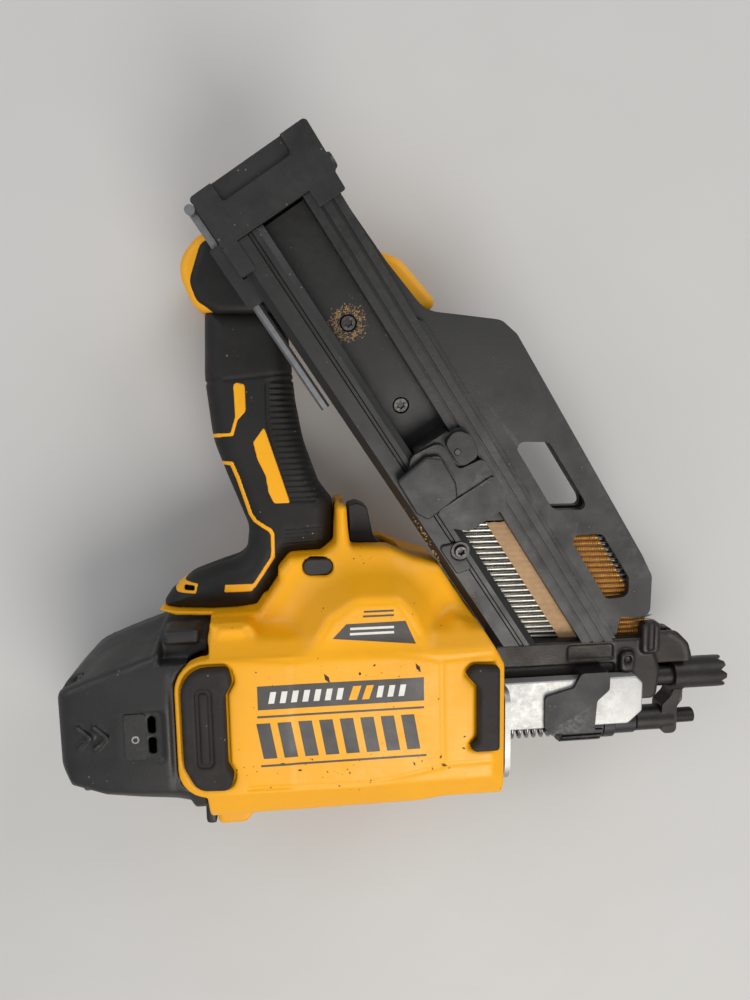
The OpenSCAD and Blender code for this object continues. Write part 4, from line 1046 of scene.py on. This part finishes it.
def flake(points, spot):
    """A low pyramid put at spot, turned by a random angle about z."""
    spin = Matrix.Rotation(rng.uniform(0, 6.3), 4, "Z")
    return moved((points, [(0, 1, 4), (1, 2, 4), (2, 3, 4), (3, 0, 4), (3, 2, 1, 0)]), spot, spin)


def scatter(name, parts):
    dress(mesh_object(name, *joined(parts), smooth=False, place=MAG), sawdust, "tool", "paper")


def small_details():
    b = Block((9, 74, 13), (21, 101, 17), 0.5)
    clamp = b.plate([(10.6, 80, 2), (19.6, 78, 2), (19.6, 95, 3), (10.6, 99, 2)], 13.4, 15.2, 0.6)
    clamp = less(clamp, overlap(np.hypot(b.x - CLAMP_SCREW[0], b.y - CLAMP_SCREW[1]) - 5.0, 14.1 - b.z))
    solid("rail_clamp", b, clamp, black, "black_moulding", place=MAG)
    b = Block((8, 112, 16), (39, 147, 22), 0.5)
    button = b.plate([(10.8, 121.7, 2), (14.1, 115.6, 2), (32.3, 117.1, 2), (35.6, 124.2, 2),
        (36.2, 138.4, 2), (30.3, 143.5, 2), (11.5, 141.2, 2)], 17.1, 20.4, 0.8)
    solid("pusher_button", b, button, black, "black_moulding", place=MAG, body=NODE_BODY["pusher_carriage"])
    crumbs = []
    for _ in range(60):
        v, u, w = rng.choice(((7.5, 100, 12.6), (8.5, 112, 13.4), (12.5, 62, 14.05)))
        r = rng.uniform(0.2, 0.8)
        spot = (v + rng.normal(0, 0.7), u + rng.normal(0, 5.5), w)
        crumbs.append(flake([(-r, -r * 0.4, -0.3), (r, -r * 0.3, -0.3), (r * 0.7, r * 0.5, -0.2),
            (-r, r * 0.3, -0.3), (0, 0, r * 0.3)], spot))
    scatter("wood_crumbs", crumbs)
    stud = thread(4.35, 0.6, 1.5, 97.2, 110.9, TRIP_Y)
    dress(mesh_object("depth_stud", *stud), blackened, NODE_BODY["contact_foot"], "blackened_steel")
    grains = []
    centre_v, centre_u = CHANNEL_SCREWS[1]
    for _ in range(420):
        a, away = rng.uniform(0, 2 * pi), rng.normal(6.8, 1.5)
        if 4.3 < away < 10.5:
            spot = (centre_v + away * cos(a), centre_u + away * sin(a), CHANNEL_FLOOR)
            r = rng.uniform(0.15, 0.5)
            grains.append(flake([(-r, -r * 0.5, 0), (r, -r * 0.4, 0.05), (r * 0.8, r * 0.5, 0),
                (-r, r * 0.4, 0), (0, 0, r * 0.5)], spot))
    scatter("sawdust_ring", grains)


# ---------------------------------------------------------------- printed marks
class Skin:
    """Heights of the body's left face, for laying printed marks on it."""

    def __init__(self):
        self.b = Block((-146, -26, 36), (-44, 66, 54), 1.0)
        field = np.broadcast_to(barrel_field(self.b), [len(a) for a in self.b.ax])
        top = field.shape[2] - 2 - np.argmax(field[:, :, -2::-1] < 0, 2)
        i, j = np.indices(top.shape)
        a, b = field[i, j, top], field[i, j, top + 1]
        self.z = self.b.ax[2][top] + a / (a - b)

    def height(self, x, y):
        u = np.clip((x - self.b.low[0]), 0, self.z.shape[0] - 1.01)
        v = np.clip((y - self.b.low[1]), 0, self.z.shape[1] - 1.01)
        i, j = u.astype(int), v.astype(int)
        p, q = u - i, v - j
        z = self.z
        return (z[i, j] * (1 - p) * (1 - q) + z[i + 1, j] * p * (1 - q) + z[i, j + 1] * (1 - p) * q +
            z[i + 1, j + 1] * p * q)


def printed(name, skin, quads, material, lift):
    """Four-cornered marks laid on both sides of the body."""
    points, faces = [], []
    for corners in quads:
        a, b, c, d = (np.array(p, float) for p in corners)
        nu = max(2, int(np.linalg.norm(b - a) / 1.5))
        nv = max(2, int(np.linalg.norm(d - a) / 1.5))
        s, t = np.meshgrid(np.linspace(0, 1, nu + 1), np.linspace(0, 1, nv + 1), indexing="ij")
        s, t = s[..., None], t[..., None]
        flat = (a * (1 - s) + b * s) * (1 - t) + (d * (1 - s) + c * s) * t
        z = skin.height(flat[..., 0], flat[..., 1]) + lift
        base = len(points)
        points.extend(np.dstack([flat, z]).reshape(-1, 3).tolist())
        for i in range(nu):
            for j in range(nv):
                k = base + i * (nv + 1) + j
                faces.append((k, k + nv + 1, k + nv + 2, k + 1))
    both_sides(name, np.array(points), np.array(faces), material, "yellow_housing")


def slanted(x0, x1, y0, y1, lean):
    return [(x0, y0), (x1, y0), (x1 + lean, y1), (x0 + lean, y1)]


def printed_marks():
    skin = Skin()
    dark = [slanted(-137, -56.5, 13.2, 25.0, 0), slanted(-137.4, -56.5, 9.2, 10.2, 0),
        slanted(-136.4, -55.5, -15.6, -14.6, 0)]
    dark += [slanted(-135 + 10 * k, -128.5 + 10 * k, -11.5, 6.4, -3.0) for k in range(8)]
    dark.append([(-100.3, 45.6), (-59.9, 41.4), (-64.8, 52.9), (-93.6, 52.6)])
    printed("side_print", skin, dark, print_black, 0.10)
    light = [slanted(-132 + 5.4 * k, -129.2 + 5.4 * k, 16.2, 22.0, 1.2) for k in range(7)]
    light += [slanted(-80 + 5.4 * k, -77.2 + 5.4 * k, 16.2, 22.0, 1.2) for k in range(3)]
    light += [slanted(-92 + 0.2 * k, -70.5, 47.0 + 2.6 * k, 48.2 + 2.6 * k, 0) for k in range(2)]
    printed("side_bars", skin, light, print_white, 0.22)
    accent = [slanted(-93.5, -89.5, 15.6, 22.6, 2.4), slanted(-87, -83.5, 15.6, 22.6, 2.4)]
    printed("side_accents", skin, accent, yellow, 0.22)
    upper = [slanted(-85.5 + 0.5 * k, -70.5, 55.6 + 2.3 * k, 56.5 + 2.3 * k, 0) for k in range(2)]
    printed("emblem_bars", skin, upper, print_black, 0.12)
    chips = []
    for _ in range(46):
        x, y = rng.uniform(-141, -30), rng.choice((rng.uniform(-23, -12), rng.uniform(14, 33),
            rng.uniform(-23, 33)))
        r, lean = 0.12 + rng.exponential(0.22), rng.uniform(0, pi)
        long, wide = r * rng.uniform(1, 3.2), r
        c, s = cos(lean), sin(lean)
        chips.append([(x - long * c, y - long * s), (x + wide * s, y - wide * c),
            (x + long * c, y + long * s), (x - wide * s, y + wide * c)])
    printed("paint_chips", skin, chips, chip_brown, 0.07)


add_camera()
add_floor()
add_studio()
paint_cad_nodes()
for make in (body_halves, foot_body, rubber_grips, rear_cap_piece, pads, nose_block, softened_parts, springs,
        nail_strip, tape, screws, small_details, printed_marks):
    make()
